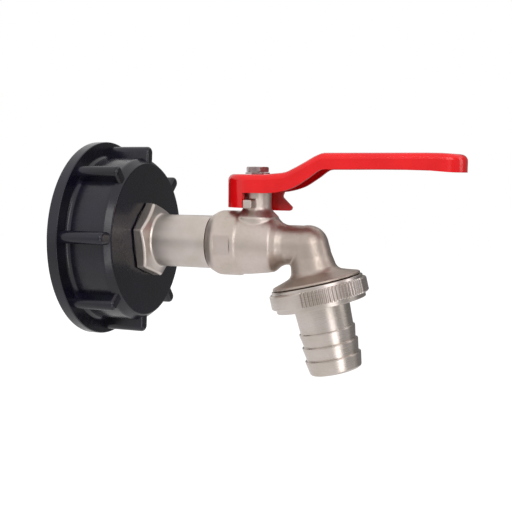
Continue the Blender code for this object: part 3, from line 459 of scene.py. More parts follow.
def make_connector():
    """Connector: threaded tail, hexagon with a turned face, neck and tube."""
    corner = HEX_FLATS / math.sqrt(3.0)
    outline = [(SEAT_RADIUS, CONNECTOR_END, 0.2), (SEAT_RADIUS, SCREWED_END, 0.1)]
    outline += [(SCREWED_RADIUS, SCREWED_END, 0.2), (SCREWED_RADIUS, JOINT_X, 0.1)]
    outline += [(TUBE_RADIUS, JOINT_X, 0.25)]
    outline += [(TUBE_RADIUS, HEX_END + 2.3, 0.5), (TUBE_RADIUS + 0.5, HEX_END + 1.7, 0.4)]
    outline += [(HEX_FLATS / 2 - 1.1, HEX_END + 1.05), (corner + 0.4, HEX_END - 0.1)]
    outline += [(corner + 0.4, HEX_START), (TAIL_RADIUS, HEX_START, 0.1)]
    turns = 9
    pitch = (HEX_START - CONNECTOR_START - 1.6) / turns
    for i in reversed(range(turns)):
        base = CONNECTOR_START + 1.0 + pitch * i
        outline += [(TAIL_RADIUS, base + pitch * 0.62), (TAIL_RADIUS - 0.7, base + pitch * 0.18)]
    outline += [(TAIL_RADIUS - 0.8, CONNECTOR_START, 0.2), (TUBE_BORE, CONNECTOR_START, 0.3)]
    outline += [(TUBE_BORE, SCREWED_END, 0.5), (WATER_BORE, CONNECTOR_END - 1.0, 0.3)]
    outline += [(WATER_BORE, CONNECTOR_END)]
    connector = lathe("inlet_piece", outline, steps=128, turn=ALONG_PIPE)
    hexagon = column("hexagon", 6, corner, CONNECTOR_START - 1.0, CONNECTOR_END + 1.0, HEX_TURN,
                     turn=ALONG_PIPE)
    cut(connector, hexagon, "INTERSECT")
    edges = creases(connector.data, lambda p: p.yz.length > (corner - 0.03) * MM or (
        p.x > (HEX_END - 1.6) * MM and p.yz.length > (TUBE_RADIUS + 2.0) * MM))
    edit_where(connector, "EDGE", lambda e: e.key in edges)
    bpy.ops.mesh.bevel(offset=1.0 * MM, segments=6, affect="EDGES")
    bpy.ops.object.mode_set(mode="OBJECT")
    smooth(connector, 24.0)
    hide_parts("inlet_connector")
    return connector


def barrel_form():
    """Barrel, shoulder and outlet pipe of the body."""
    outline = [(0.0, ELBOW_X), (PIPE_RADIUS, ELBOW_X), (PIPE_RADIUS, PIPE_X + 0.8, 3.0)]
    outline += [(PIPE_RADIUS + 1.0, PIPE_X - 1.6, 2.0), (BARREL_END_RADIUS - 0.3, BARREL_END_X + 1.5, 1.5)]
    outline += [(BARREL_END_RADIUS + 0.25, BARREL_END_X - 1.6, 2.2), (BARREL_RADIUS, SHOULDER_X + 2.2)]
    outline += [(BARREL_RADIUS, SHOULDER_X + 0.5, 0.9), (SHOULDER_RADIUS, SHOULDER_X - 0.6, 0.9)]
    outline += [(SHOULDER_RADIUS, BODY_START + 3.4, 5.0), (SHOULDER_RADIUS - 1.9, BODY_START, 0.9)]
    outline += [(0.0, BODY_START)]
    return lathe("body_casting", outline, steps=128, closed=False, turn=ALONG_PIPE)


def spout_form():
    """Round elbow, spout, flare and threaded spigot."""
    root, edge = SPOUT_ROOT_RADIUS, FLARE_RADIUS
    outline = [(0.0, SPIGOT_END), (SPIGOT_RADIUS, SPIGOT_END, 0.6), (SPIGOT_RADIUS, FLARE_END, 0.1)]
    outline += [(edge, FLARE_END, 0.25), (edge - 0.1, FLARE_END - 0.9, 0.3)]
    outline += [(edge - 4.6, FLARE_END - 2.3, 6.0)]
    outline += [(root + 0.7, FLARE_END - 3.6, 3.5), (root - 0.3, 4.6, 6.0)]
    ball = [(SPOUT_RADIUS * math.cos(a), -SPOUT_RADIUS * math.sin(a))
            for a in [math.radians(90.0 * i / 24) for i in range(24)]]
    outline += ball + [(0.0, -SPOUT_RADIUS)]
    return lathe("spout_form", outline, steps=128, closed=False, place=ELBOW, turn=DOWN_SPOUT)


def neck_form():
    """Stem neck with its flared root."""
    root = BARREL_RADIUS - 1.2
    outline = [(0.0, NECK_TOP), (NECK_RADIUS, NECK_TOP, 0.5), (NECK_RADIUS, root + 2.6, 2.5)]
    outline += [(NECK_RADIUS + 3.0, root - 0.4, 0.5), (NECK_RADIUS + 3.0, 6.0), (0.0, 6.0)]
    return lathe("neck_form", outline, steps=96, closed=False, place=STEM_FOOT)


def body_bores(body):
    """Waterway, ball chamber and stem bore, cut last so their edges stay crisp."""
    chamber = [(0.0, ELBOW_X), (WATER_BORE, ELBOW_X), (WATER_BORE, CHAMBER_END)]
    chamber += [(CHAMBER_RADIUS, CHAMBER_END), (CHAMBER_RADIUS, SCREWED_END + 0.3)]
    chamber += [(SCREWED_RADIUS + 0.3, SCREWED_END + 0.3)]
    chamber += [(SCREWED_RADIUS + 0.3, BODY_START - 1.0), (0.0, BODY_START - 1.0)]
    cut(body, lathe("chamber", chamber, steps=96, closed=False, turn=ALONG_PIPE))
    bore, mouth = WATER_BORE + 0.3, TAIL_BORE + 1.0
    spout = [(0.0, SPIGOT_END + 1.0), (mouth, SPIGOT_END + 1.0), (mouth, 11.3), (bore, 7.3)]
    spout += [(bore * math.cos(a), -bore * math.sin(a)) for a in [math.radians(15.0 * i) for i in range(6)]]
    spout += [(0.0, -bore)]
    cut(body, lathe("spout_way", spout, steps=96, closed=False, place=ELBOW, turn=DOWN_SPOUT))
    stem = [(0.0, NECK_TOP + 1.0), (STEM_BORE + 0.3, NECK_TOP + 1.0), (STEM_BORE + 0.3, NECK_TOP + 0.3)]
    stem += [(STEM_BORE, NECK_TOP - 0.3), (STEM_BORE, 11.1), (4.3, 11.1), (4.3, 4.0), (0.0, 4.0)]
    cut(body, lathe("stem_way", stem, steps=64, closed=False, place=STEM_FOOT))


def soften(piece, centre, reach, repeat):
    """Relax the surface near a point, so that forms flow into each other."""
    edit_where(piece, "VERT", lambda v: (v.co - Vector(centre) * MM).length < reach * MM)
    bpy.ops.mesh.vertices_smooth(factor=0.5, repeat=repeat)
    bpy.ops.object.mode_set(mode="OBJECT")


def make_body():
    """Cast body: the forms are joined, remeshed as one skin and softened where they meet."""
    body = barrel_form()
    cut(body, spout_form(), "UNION")
    cut(body, neck_form(), "UNION")
    for side, name in ((-1, "flat_near"), (1, "flat_far")):
        low = min(side * WRENCH_FLAT_SIDE, side * (WRENCH_FLAT_SIDE + 3.0))
        cut(body, bar(name, (WRENCH_FLAT[0], low, -8.0), (WRENCH_FLAT[1], low + 3.0, 8.0)))
    for name, angle in (("lug_near", LUG_TURN), ("lug_far", LUG_TURN - 180.0)):
        lug = bar(name, (NECK_RADIUS - 2.0, -LUG_WIDTH / 2, LUG_FOOT), (LUG_REACH, LUG_WIDTH / 2, LUG_TOP),
                  place=STEM_FOOT, turn=(0.0, 0.0, math.radians(angle)), edge=0.35)
        cut(body, lug, "UNION")
    shape(body, "REMESH", mode="VOXEL", voxel_size=SKIN_VOXEL * MM, adaptivity=0.0)
    edit(body)
    bpy.ops.mesh.vertices_smooth(factor=0.5, repeat=2)
    bpy.ops.object.mode_set(mode="OBJECT")
    soften(body, (ELBOW_X - 6.5, 0.0, -7.5), 4.5, 25)
    soften(body, (STEM_X, 0.0, 12.5), 7.5, 6)
    body_bores(body)
    smooth(body, 40.0)
    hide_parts("valve_body")
    return body


def make_coupling_nut():
    """Coupling nut: lips, a band with two knurled stretches and the foot that holds the tail."""
    band_start, band_end = NUT_BAND
    outline = [(NUT_FOOT_LIP, NUT_END, 0.3), (NUT_FOOT_LIP, band_end, 0.15)]
    outline += [(NUT_BAND_RADIUS - 0.5, band_end), (NUT_BAND_RADIUS, band_end - 0.45)]
    outline += [(NUT_BAND_RADIUS, band_start + 0.45), (NUT_BAND_RADIUS - 0.5, band_start)]
    outline += [(NUT_TOP_LIP, band_start, 0.15), (NUT_TOP_LIP, NUT_START, 0.3)]
    outline += [(NUT_BORE, NUT_START, 0.3), (NUT_BORE, NUT_END - NUT_FOOT_WALL, 0.3)]
    outline += [(SHANK_HOLE, NUT_END - NUT_FOOT_WALL, 0.2), (SHANK_HOLE, NUT_END, 0.25)]
    outline = outline[::-1]
    columns = KNURL_COUNT * 4
    nut = lathe("union_nut_ring", outline, steps=columns)

    def in_groove(vertex):
        """True on the band at the columns that are pressed in, in two opposite stretches."""
        radius = math.hypot(vertex.co.x, vertex.co.y)
        turned = math.degrees(math.atan2(vertex.co.y, vertex.co.x))
        off_middle = abs((turned - KNURL_MIDDLE + 90.0) % 180.0 - 90.0)
        column = round(turned / 360.0 * columns)
        return radius > (NUT_BAND_RADIUS - 0.05) * MM and off_middle < KNURL_HALF and column % 4 in (0, 1)

    edit_where(nut, "VERT", in_groove)
    share = 1.0 - KNURL_DEPTH / NUT_BAND_RADIUS
    bpy.ops.transform.resize(value=(share, share, 1.0), center_override=(0.0, 0.0, 0.0))
    settle(nut, ELBOW, DOWN_SPOUT)
    smooth(nut, 28.0)
    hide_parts("coupling_nut")
    return nut


def make_hose_tail():
    """Hose tail: collar, tapered shank, three barbs and a round end."""
    outline = [(TAIL_BORE, TAIL_END, 0.4), (BARB_ROOT - 0.1, TAIL_END, 1.1)]
    last = BARB_START + BARB_PITCH * (BARB_COUNT - 1)
    for index in reversed(range(BARB_COUNT)):
        crest = BARB_START + BARB_PITCH * index
        if crest < last:
            outline.append((BARB_ROOT, crest + BARB_PITCH - 0.05, 0.15))
        outline += [(BARB_RADIUS - 0.02, crest + 0.55, 0.3), (BARB_RADIUS, crest, 0.15)]
    outline += [(SHANK_END_RADIUS, BARB_START - 0.05, 0.15), (SHANK_RADIUS, NUT_END - 0.5, 0.4)]
    outline += [(SHANK_RADIUS, COLLAR[1], 0.3), (COLLAR_RADIUS, COLLAR[1], 0.3)]
    outline += [(COLLAR_RADIUS, COLLAR[0], 0.3), (TAIL_BORE, COLLAR[0], 0.3)]
    tail = lathe("tail_turning", outline, steps=144, place=ELBOW, turn=DOWN_SPOUT)
    smooth(tail)
    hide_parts("hose_tail")
    return tail


def lever_top(x):
    """Height of the lever's top sheet."""
    reach = max(0.0, x - LEVER_TIP + DROOP_LENGTH) / DROOP_LENGTH
    return follow(TOP_LINE, x) - DROOP * reach ** 2


def lever_stations():
    """Places along the lever where its sheet gets a crossing edge."""
    bend_start, bend_end, steps = 8.64, TOP_LINE[-1][0], 16
    bend = [bend_start + (bend_end - bend_start) * i / steps for i in range(steps + 1)]
    straight = [36.0, 46.0, 56.0, LEVER_TIP - DROOP_LENGTH, LEVER_TIP - TIP_ROUND - 0.2, LEVER_TIP]
    return [LEVER_REAR, LEVER_REAR + REAR_ROUND + 0.2, -TAB_GAP, 0.0, TAB_GAP, 5.1, 6.9] + bend + straight


def lever_plan():
    """Top sheet of the lever with round ends."""
    deselect()
    bpy.ops.mesh.primitive_plane_add(size=2 * HALF_WIDTH * MM)
    lever = bpy.context.object
    lever.name = "lever_pressing"
    stations = lever_stations()
    for vertex in lever.data.vertices:
        x = stations[0] if vertex.co.x < 0 else stations[1]
        vertex.co.x, vertex.co.z = x * MM, lever_top(x) * MM
    edit_where(lever, "EDGE", lambda e, m=lever.data: all(
        m.vertices[v].co.x > (stations[1] - 0.1) * MM for v in e.vertices))
    for here, there in zip(stations[1:], stations[2:]):
        step = Vector((there - here, 0.0, lever_top(there) - lever_top(here))) * MM
        bpy.ops.mesh.extrude_region_move(TRANSFORM_OT_translate={"value": step})
    for end, reach in ((LEVER_REAR, REAR_ROUND), (LEVER_TIP, TIP_ROUND)):
        edit_where(lever, "VERT", lambda v, at=end: abs(v.co.x - at * MM) < 0.01 * MM)
        bpy.ops.mesh.bevel(offset=reach * MM, segments=12, affect="VERTICES")
    bpy.ops.object.mode_set(mode="OBJECT")
    return lever


def rim_edges(mesh):
    """Keys of the edges that bound only one face."""
    count = {}
    for face in mesh.polygons:
        for key in face.edge_keys:
            count[key] = count.get(key, 0) + 1
    return {key for key, faces in count.items() if faces == 1}


def lever_walls(lever):
    """Walls all round, their lower edge on its line, and the rounded long edge."""
    rim = rim_edges(lever.data)
    edit_where(lever, "EDGE", lambda e: e.key in rim)
    bpy.ops.mesh.extrude_region_move(TRANSFORM_OT_translate={"value": (0.0, 0.0, -5.0 * MM)})
    bpy.ops.object.mode_set(mode="OBJECT")
    lower = {v for key in rim_edges(lever.data) for v in key}
    for index in lower:
        vertex = lever.data.vertices[index]
        vertex.co.z = follow(EDGE_LINE, vertex.co.x / MM) * MM
    top = [key for key in {k for f in lever.data.polygons for k in f.edge_keys}
           if not set(key) & lower]
    wall = {key for f in lever.data.polygons if set(f.vertices) & lower for key in f.edge_keys}
    brim = set(top) & wall
    edit_where(lever, "EDGE", lambda e: e.key in brim)
    bpy.ops.mesh.bevel(offset=2.3 * MM, segments=7, profile=0.5, affect="EDGES")
    bpy.ops.object.mode_set(mode="OBJECT")


def drop_tab(lever, inside, steps):
    """Extrude a stretch of the lower edge in steps of (foot, reach), stretched along X from its start."""
    rim = rim_edges(lever.data)
    mesh = lever.data
    edit_where(lever, "EDGE", lambda e: e.key in rim and all(
        inside(mesh.vertices[v].co / MM) for v in e.vertices))
    for foot, reach in steps:
        bpy.ops.mesh.extrude_region_move(TRANSFORM_OT_translate={"value": (0.0, 0.0, -0.5 * MM)})
        bpy.ops.object.mode_set(mode="OBJECT")
        chosen = [v for v in lever.data.vertices if v.select]
        length = max(v.co.x for v in chosen) - TAB_GAP * MM
        for vertex in chosen:
            vertex.co.z = foot * MM
            if reach:
                vertex.co.x = TAB_GAP * MM + (vertex.co.x - TAB_GAP * MM) * reach * MM / length
        bpy.ops.object.mode_set(mode="EDIT")
    bpy.ops.object.mode_set(mode="OBJECT")


def taper_rear(lever):
    """Draw the sides in towards the rear, so that the rear end is a long oval."""
    for vertex in lever.data.vertices:
        x = vertex.co.x / MM
        if x < REAR_OVAL_END:
            oval = HALF_WIDTH * math.sqrt(1.0 - ((REAR_OVAL_END - x) / REAR_OVAL) ** 2)
            corner = max(0.0, LEVER_REAR + REAR_ROUND - x) / REAR_ROUND
            now = HALF_WIDTH - REAR_ROUND * (1.0 - math.sqrt(max(0.0, 1.0 - corner ** 2)))
            vertex.co.y *= min(1.0, oval / now)


def make_lever():
    """Pressed lever: channel sheet with an S bend, rear skirt, two tabs and rounded edges."""
    lever = lever_plan()
    lever_walls(lever)
    near_lug, side = -TAB_GAP + 0.05, REAR_TAB_SIDE + 0.2
    drop_tab(lever, lambda p: p.x < near_lug and p.y < side and p.z < 21.0, [(REAR_TAB_FOOT, None)])
    drop_tab(lever, lambda p: TAB_GAP - 0.05 < p.x < 8.7 and p.y > 0 and p.z < 21.0,
             [(18.9, 4.75), (18.2, 4.8), (14.3, 8.7), (13.3, 8.4), (12.9, 7.6)])
    taper_rear(lever)
    edit(lever)
    bpy.ops.mesh.normals_make_consistent(inside=False)
    bpy.ops.object.mode_set(mode="OBJECT")
    shape(lever, "SOLIDIFY", thickness=SHEET * MM, offset=-1.0, use_even_offset=True)
    shape(lever, "BEVEL", width=0.45 * MM, segments=3, limit_method="ANGLE", angle_limit=math.radians(50.0))
    settle(lever, STEM_FOOT)
    hole = column("stem_hole", 48, STEM_RADIUS + 0.3, HUB_TOP - SHEET - 1.0, HUB_TOP + 1.0, place=STEM_FOOT)
    for sign in (-1, 1):
        low = min(sign * 2.4, sign * 5.4)
        cut(hole, bar("hole_side", (-5.0, low, HUB_TOP - 4.0), (5.0, low + 3.0, HUB_TOP + 2.0),
                      place=STEM_FOOT))
    cut(lever, hole)
    smooth(lever, 40.0)
    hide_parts("lever")
    return lever


def make_lever_nut():
    """Hexagon nut with turned corners on both faces."""
    corner = LEVER_NUT_FLATS / math.sqrt(3.0)
    outline = [(corner - 0.6, LEVER_NUT_TOP, 0.1), (corner + 0.3, LEVER_NUT_TOP - 0.5)]
    outline += [(corner + 0.3, LEVER_NUT_Z + 0.45), (corner - 0.5, LEVER_NUT_Z, 0.1)]
    outline += [(2.9, LEVER_NUT_Z, 0.1), (2.6, LEVER_NUT_Z + 0.3)]
    outline += [(2.6, LEVER_NUT_TOP - 0.3), (2.9, LEVER_NUT_TOP, 0.1)]
    nut = lathe("hub_nut", outline, steps=96, place=STEM_FOOT)
    hexagon = column("hub_hexagon", 6, corner, LEVER_NUT_Z - 1.0, LEVER_NUT_TOP + 1.0, 0.0, place=STEM_FOOT)
    edit_where(hexagon, "EDGE", lambda e, m=hexagon.data: abs(
        m.vertices[e.vertices[0]].co.z - m.vertices[e.vertices[1]].co.z) > 1.0 * MM)
    bpy.ops.mesh.bevel(offset=0.15 * MM, segments=3, affect="EDGES")
    cut(nut, hexagon, "INTERSECT")
    smooth(nut, 24.0)
    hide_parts("lever_nut")
    return nut


def make_lock_washer():
    """Washer under the nut."""
    top = WASHER_Z + 0.5
    outline = [(4.8, top, 0.12), (4.8, WASHER_Z, 0.12), (2.6, WASHER_Z, 0.1), (2.6, top, 0.1)]
    washer = lathe("hub_washer", outline, steps=72, place=STEM_FOOT)
    smooth(washer)
    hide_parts("lock_washer")
    return washer


def colour(red, green, blue):
    """Linear colour from the 0 to 255 values that a screen shows."""
    channels = [value / 255 for value in (red, green, blue)]
    return [c / 12.92 if c <= 0.04045 else ((c + 0.055) / 1.055) ** 2.4 for c in channels] + [1.0]


class Finish:
    """A procedural material, built node by node on Object coordinates."""

    def __init__(self, name, base, roughness, metallic=0.0):
        self.material = bpy.data.materials.new(name)
        self.material.use_nodes = True
        self.nodes = self.material.node_tree.nodes
        self.links = self.material.node_tree.links
        self.shader = self.nodes["Principled BSDF"]
        self.shader.inputs["Base Color"].default_value = base
        self.shader.inputs["Roughness"].default_value = roughness
        self.shader.inputs["Metallic"].default_value = metallic
        self.place = self.nodes.new("ShaderNodeTexCoord").outputs["Object"]
        self.height = None

    def stretched(self, scale, turn=(0.0, 0.0, 0.0)):
        """Object coordinates turned and stretched."""
        mapping = self.nodes.new("ShaderNodeMapping")
        mapping.vector_type = "TEXTURE"
        mapping.inputs["Rotation"].default_value = turn
        mapping.inputs["Scale"].default_value = scale
        self.links.new(self.place, mapping.inputs["Vector"])
        return mapping.outputs["Vector"]

    def noise(self, scale, detail=3.0, vector=None, roughness=0.5):
        """Noise with its grain in grains a metre."""
        node = self.nodes.new("ShaderNodeTexNoise")
        node.inputs["Scale"].default_value = scale
        node.inputs["Detail"].default_value = detail
        node.inputs["Roughness"].default_value = roughness
        self.links.new(vector or self.place, node.inputs["Vector"])
        return node.outputs["Fac"]

    def along(self, axis):
        """Object coordinate along an axis."""
        split = self.nodes.new("ShaderNodeSeparateXYZ")
        self.links.new(self.place, split.inputs[0])
        return split.outputs[axis]

    def ramp(self, source, low, high, start=0.35, end=0.65):
        """Map a grey pattern to values between low and high."""
        node = self.nodes.new("ShaderNodeMapRange")
        node.inputs["From Min"].default_value = start
        node.inputs["From Max"].default_value = end
        node.inputs["To Min"].default_value = low
        node.inputs["To Max"].default_value = high
        self.links.new(source, node.inputs["Value"])
        return node.outputs["Result"]

    def tint(self, source, dark, light):
        """Colour the surface between two colours by a pattern, or from what is there to the second."""
        node = self.nodes.new("ShaderNodeMix")
        node.data_type = "RGBA"
        if dark is None:
            self.links.new(self.shader.inputs["Base Color"].links[0].from_socket, node.inputs["A"])
        else:
            node.inputs["A"].default_value = dark
        node.inputs["B"].default_value = light
        self.links.new(source, node.inputs["Factor"])
        self.links.new(node.outputs["Result"], self.shader.inputs["Base Color"])

    def vary(self, name, source):
        """Drive one socket of the shader by a pattern."""
        self.links.new(source, self.shader.inputs[name])

    def bump(self, source, distance, strength=1.0):
        """Add relief of a height in millimetres to what is there."""
        node = self.nodes.new("ShaderNodeBump")
        node.inputs["Strength"].default_value = strength
        node.inputs["Distance"].default_value = distance * MM
        self.links.new(source, node.inputs["Height"])
        if self.height:
            self.links.new(self.height, node.inputs["Normal"])
        self.height = node.outputs["Normal"]
        self.links.new(self.height, self.shader.inputs["Normal"])


def black_plastic():
    """Moulded black polypropylene: satin gloss, faint waviness and fine grain."""
    finish = Finish("black_moulding", colour(14, 14, 20), 0.25)
    finish.tint(finish.ramp(finish.noise(60.0), 0.0, 1.0), colour(9, 9, 17), colour(18, 16, 31))
    finish.vary("Roughness", finish.ramp(finish.noise(420.0, 4.0), 0.20, 0.30))
    finish.bump(finish.noise(110.0, 2.0), 0.10, 0.25)
    finish.bump(finish.noise(2600.0, 2.0), 0.006, 0.4)
    return finish.material


def cast_nickel():
    """Satin nickel over a tumbled casting, with painted shade on the outlet pipe, elbow and spout."""
    finish = Finish("cast_nickel", colour(204, 191, 183), 0.44, 1.0)
    finish.tint(finish.ramp(finish.noise(90.0, 4.0), 0.0, 1.0), colour(200, 188, 177), colour(212, 198, 192))
    # Painted shade: from X of about 77 to 86 mm on, the outlet pipe, elbow and spout are tinted darker to
    # stand in for the darker reflections they show.
    finish.tint(finish.ramp(finish.along("X"), 0.0, 1.0, 0.077, 0.086), None, colour(190, 176, 166))
    finish.vary("Roughness", finish.ramp(finish.noise(900.0, 5.0), 0.38, 0.52))
    finish.bump(finish.noise(420.0, 3.0), 0.05, 0.7)
    finish.bump(finish.noise(3200.0, 3.0), 0.006, 0.6)
    return finish.material


def turned_nickel(name, turn, rough):
    """Satin nickel over lathe marks that run round an axis."""
    finish = Finish(name, colour(206, 194, 186), rough, 1.0)
    along = finish.stretched((0.0002, 0.02, 0.02), turn)
    marks = finish.noise(1.0, 2.0, along)
    finish.tint(finish.ramp(finish.noise(120.0, 4.0), 0.0, 1.0), colour(199, 189, 180), colour(210, 199, 194))
    finish.vary("Roughness", finish.ramp(marks, rough - 0.04, rough + 0.05))
    finish.bump(marks, 0.003, 0.5)
    finish.bump(finish.noise(3000.0, 3.0), 0.004, 0.5)
    return finish.material


def red_coating():
    """Glossy red coating with a faint orange peel."""
    finish = Finish("red_coating", colour(232, 16, 22), 0.2)
    finish.shader.inputs["Specular IOR Level"].default_value = 0.45
    finish.tint(finish.ramp(finish.noise(90.0, 3.0), 0.0, 1.0), colour(226, 12, 18), colour(238, 20, 26))
    finish.vary("Roughness", finish.ramp(finish.noise(700.0, 3.0), 0.12, 0.18))
    finish.bump(finish.noise(420.0, 2.0), 0.012, 0.3)
    return finish.material


def dull_zinc():
    """Dull plated steel of the nut and washer."""
    finish = Finish("dull_zinc", colour(150, 138, 138), 0.34, 1.0)
    finish.tint(finish.ramp(finish.noise(500.0, 4.0), 0.0, 1.0), colour(148, 130, 130), colour(182, 164, 162))
    finish.vary("Roughness", finish.ramp(finish.noise(1500.0, 4.0), 0.28, 0.44))
    finish.bump(finish.noise(2400.0, 3.0), 0.008, 0.6)
    return finish.material


def chrome():
    """Polished plate of the ball."""
    finish = Finish("polished_ball", colour(222, 221, 219), 0.08, 1.0)
    finish.vary("Roughness", finish.ramp(finish.noise(900.0, 4.0), 0.06, 0.14))
    return finish.material


def white_seal():
    """Waxy white seal."""
    finish = Finish("white_seal", colour(232, 231, 226), 0.45)
    finish.tint(finish.ramp(finish.noise(600.0, 3.0), 0.0, 1.0), colour(222, 220, 214), colour(238, 237, 233))
    finish.bump(finish.noise(2200.0, 3.0), 0.006, 0.5)
    return finish.material


def seal_rubber():
    """Matt black rubber."""
    finish = Finish("seal_rubber", colour(28, 28, 28), 0.7)
    finish.tint(finish.ramp(finish.noise(700.0, 4.0), 0.0, 1.0), colour(22, 22, 22), colour(38, 38, 37))
    finish.vary("Roughness", finish.ramp(finish.noise(1300.0, 4.0), 0.6, 0.82))
    finish.bump(finish.noise(3000.0, 4.0), 0.012, 0.7)
    return finish.material


def wear(piece, material):
    """Give a piece one material."""
    piece.data.materials.clear()
    piece.data.materials.append(material)


def dress():
    """Make every piece, put it on its body and give it its finish."""
    rubber, seal, zinc = seal_rubber(), white_seal(), dull_zinc()
    along = turned_nickel("turned_nickel_pipe", UPRIGHT, 0.36)
    down = turned_nickel("turned_nickel_spout", (0.0, math.radians(90.0 - SPOUT_TILT), 0.0), 0.31)
    across = turned_nickel("turned_nickel_stem", (0.0, math.radians(90.0), 0.0), 0.28)
    pieces = (
        (make_cap(), "tap", "black_plastic", black_plastic()),
        (make_gasket(), "tap", "black_rubber", rubber),
        (make_connector(), "tap", "nickel_plate", along),
        (make_body(), "tap", "nickel_plate", cast_nickel()),
        (make_coupling_nut(), "union_nut", "nickel_plate", down),
        (make_hose_tail(), "tail", "nickel_plate", down),
        (make_lever(), "lever_set", "red_paint", red_coating()),
        (make_lever_nut(), "lever_set", "zinc_steel", zinc),
        (make_lock_washer(), "lever_set", "zinc_steel", zinc),
    )
    for piece, body, slot, material in pieces:
        wear(piece, material)
        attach(piece, body)
    kept = {"stem": across, "ball": chrome(), "inlet_seat": seal, "outlet_seat": seal,
            "thrust_washer": seal, "inlet_washer": rubber, "hose_washer": rubber,
            "lower_stem_ring": rubber, "upper_stem_ring": rubber}
    for node, material in kept.items():
        wear(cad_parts[node], material)


def floor_material():
    """White card that keeps the object's soft shadow and shows white to the eye and in reflections."""
    material = bpy.data.materials.new("studio_floor")
    material.use_nodes = True
    nodes, links = material.node_tree.nodes, material.node_tree.links
    shader = nodes["Principled BSDF"]
    shader.inputs["Base Color"].default_value = (FLOOR_GREY, FLOOR_GREY, FLOOR_GREY, 1.0)
    shader.inputs["Roughness"].default_value = 0.9
    shader.inputs["Emission Color"].default_value = (1.0, 1.0, 1.0, 1.0)
    path = nodes.new("ShaderNodeLightPath")
    seen = nodes.new("ShaderNodeMapRange")
    seen.inputs["To Min"].default_value = FLOOR_MIRROR
    seen.inputs["To Max"].default_value = FLOOR_LIFT
    links.new(path.outputs["Is Camera Ray"], seen.inputs["Value"])
    lift = nodes.new("ShaderNodeMapRange")
    links.new(seen.outputs["Result"], lift.inputs["To Min"])
    lift.inputs["To Max"].default_value = 0.0
    links.new(path.outputs["Is Diffuse Ray"], lift.inputs["Value"])
    links.new(lift.outputs["Result"], shader.inputs["Emission Strength"])
    return material


def make_floor():
    """White floor well below the adapter, which its mount holds in the air."""
    deselect()
    bpy.ops.mesh.primitive_plane_add(size=FLOOR_SIZE, location=(0.0, 0.0, FLOOR_Z))
    floor = bpy.context.object
    floor.name = "studio_floor"
    wear(floor, floor_material())


def make_world():
    """White surroundings for the eye and for reflections, and a softer fill for light."""
    world = bpy.data.worlds.new("studio")
    bpy.context.scene.world = world
    world.use_nodes = True
    nodes, links = world.node_tree.nodes, world.node_tree.links
    background = nodes["Background"]
    background.inputs["Color"].default_value = (1.0, 1.0, 1.0, 1.0)
    path = nodes.new("ShaderNodeLightPath")
    level = nodes.new("ShaderNodeMapRange")
    level.inputs["To Min"].default_value = 1.0
    level.inputs["To Max"].default_value = FILL_LEVEL
    links.new(path.outputs["Is Diffuse Ray"], level.inputs["Value"])
    links.new(level.outputs["Result"], background.inputs["Strength"])


def heading(azimuth, elevation):
    """Direction from the adapter to an azimuth, round from its near side, and an elevation in degrees."""
    a, e = math.radians(azimuth), math.radians(elevation)
    return Vector((math.sin(a) * math.cos(e), -math.cos(a) * math.cos(e), math.sin(e)))


def place_round(azimuth, elevation, distance):
    """Point of the studio at a distance from the adapter's middle."""
    return STUDIO_MIDDLE + heading(azimuth, elevation) * distance


def softbox(name, azimuth, elevation, distance, width, height, level):
    """Rectangular soft light of an even brightness, where 1 is the white of the surroundings."""
    light = bpy.data.lights.new(name, "AREA")
    light.shape = "RECTANGLE"
    light.size, light.size_y = width, height
    light.energy = level * math.pi * width * height
    lamp = bpy.data.objects.new(name, light)
    bpy.context.scene.collection.objects.link(lamp)
    lamp.visible_glossy = False
    lamp.location = place_round(azimuth, elevation, distance)
    lamp.rotation_mode = "QUATERNION"
    lamp.rotation_quaternion = (STUDIO_MIDDLE - lamp.location).to_track_quat("-Z", "Y")


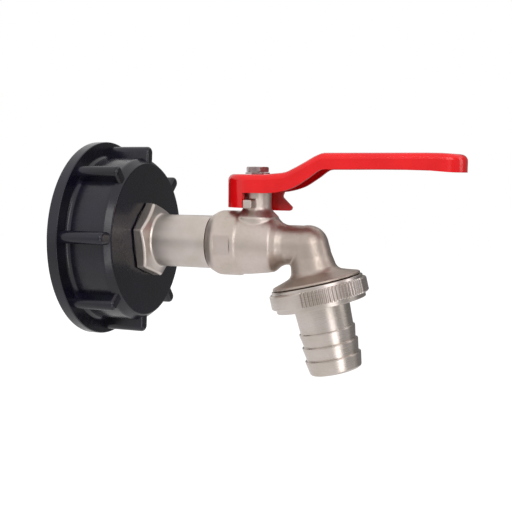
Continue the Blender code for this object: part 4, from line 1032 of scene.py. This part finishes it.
def mirror_card(name, azimuth, distance, width, low, high, level):
    """Upright grey or bright card that shows only in reflections, where it gives metal its bands."""
    deselect()
    place = place_round(azimuth, 0.0, distance)
    turn = (math.radians(90.0), 0.0, math.radians(azimuth))
    bpy.ops.mesh.primitive_plane_add(size=1.0, location=(place.x, place.y, (low + high) / 2), rotation=turn)
    card = bpy.context.object
    card.name = name
    card.scale = (width, high - low, 1.0)
    material = bpy.data.materials.new(name)
    material.use_nodes = True
    nodes, links = material.node_tree.nodes, material.node_tree.links
    nodes.remove(nodes["Principled BSDF"])
    grey = nodes.new("ShaderNodeEmission")
    grey.inputs["Strength"].default_value = level
    path = nodes.new("ShaderNodeLightPath")
    blend = nodes.new("ShaderNodeMixShader")
    links.new(path.outputs["Is Glossy Ray"], blend.inputs["Fac"])
    links.new(nodes.new("ShaderNodeBsdfTransparent").outputs[0], blend.inputs[1])
    links.new(grey.outputs[0], blend.inputs[2])
    links.new(blend.outputs[0], nodes["Material Output"].inputs["Surface"])
    wear(card, material)


def make_lights():
    """One soft light from above and in front, and the cards that the metal mirrors."""
    softbox("key_softbox", 14.0, 34.0, 0.8, 0.5, 0.5, 7.2)
    mirror_card("front_card", 0.0, 0.60, 0.78, -0.28, 0.12, 0.66)
    mirror_card("low_panel", 48.0, 0.50, 0.19, -0.29, -0.042, 3.0)
    mirror_card("side_card", 78.0, 0.55, 0.62, -0.28, 0.33, 0.45)
    mirror_card("window_card", 46.0, 0.50, 0.26, 0.10, 0.44, 3.4)
    mirror_card("right_card", 97.0, 0.52, 0.13, 0.03, 0.34, 2.6)
    mirror_card("back_card", 159.0, 0.60, 1.33, -0.28, 0.40, 0.2)


def make_camera():
    """Camera at the photo's place: round from the near side and a little above."""
    back = heading(CAMERA_AZIMUTH, CAMERA_ELEVATION)
    data = bpy.data.cameras.new("camera")
    data.sensor_width = 36.0
    data.lens = FOCAL_PIXELS * data.sensor_width / PHOTO_WIDTH
    data.clip_start, data.clip_end = 0.01, 20.0
    camera = bpy.data.objects.new("camera", data)
    bpy.context.scene.collection.objects.link(camera)
    camera.rotation_mode = "QUATERNION"
    camera.location = Vector(CAMERA_TARGET) * MM + back * CAMERA_DISTANCE
    facing = (-back).to_track_quat("-Z", "Y").to_matrix()
    camera.rotation_quaternion = (facing @ Matrix.Rotation(math.radians(CAMERA_ROLL), 3, "Z")).to_quaternion()
    bpy.context.scene.camera = camera


dress()
make_floor()
make_world()
make_lights()
make_camera()
bpy.context.scene.view_settings.view_transform = "Standard"
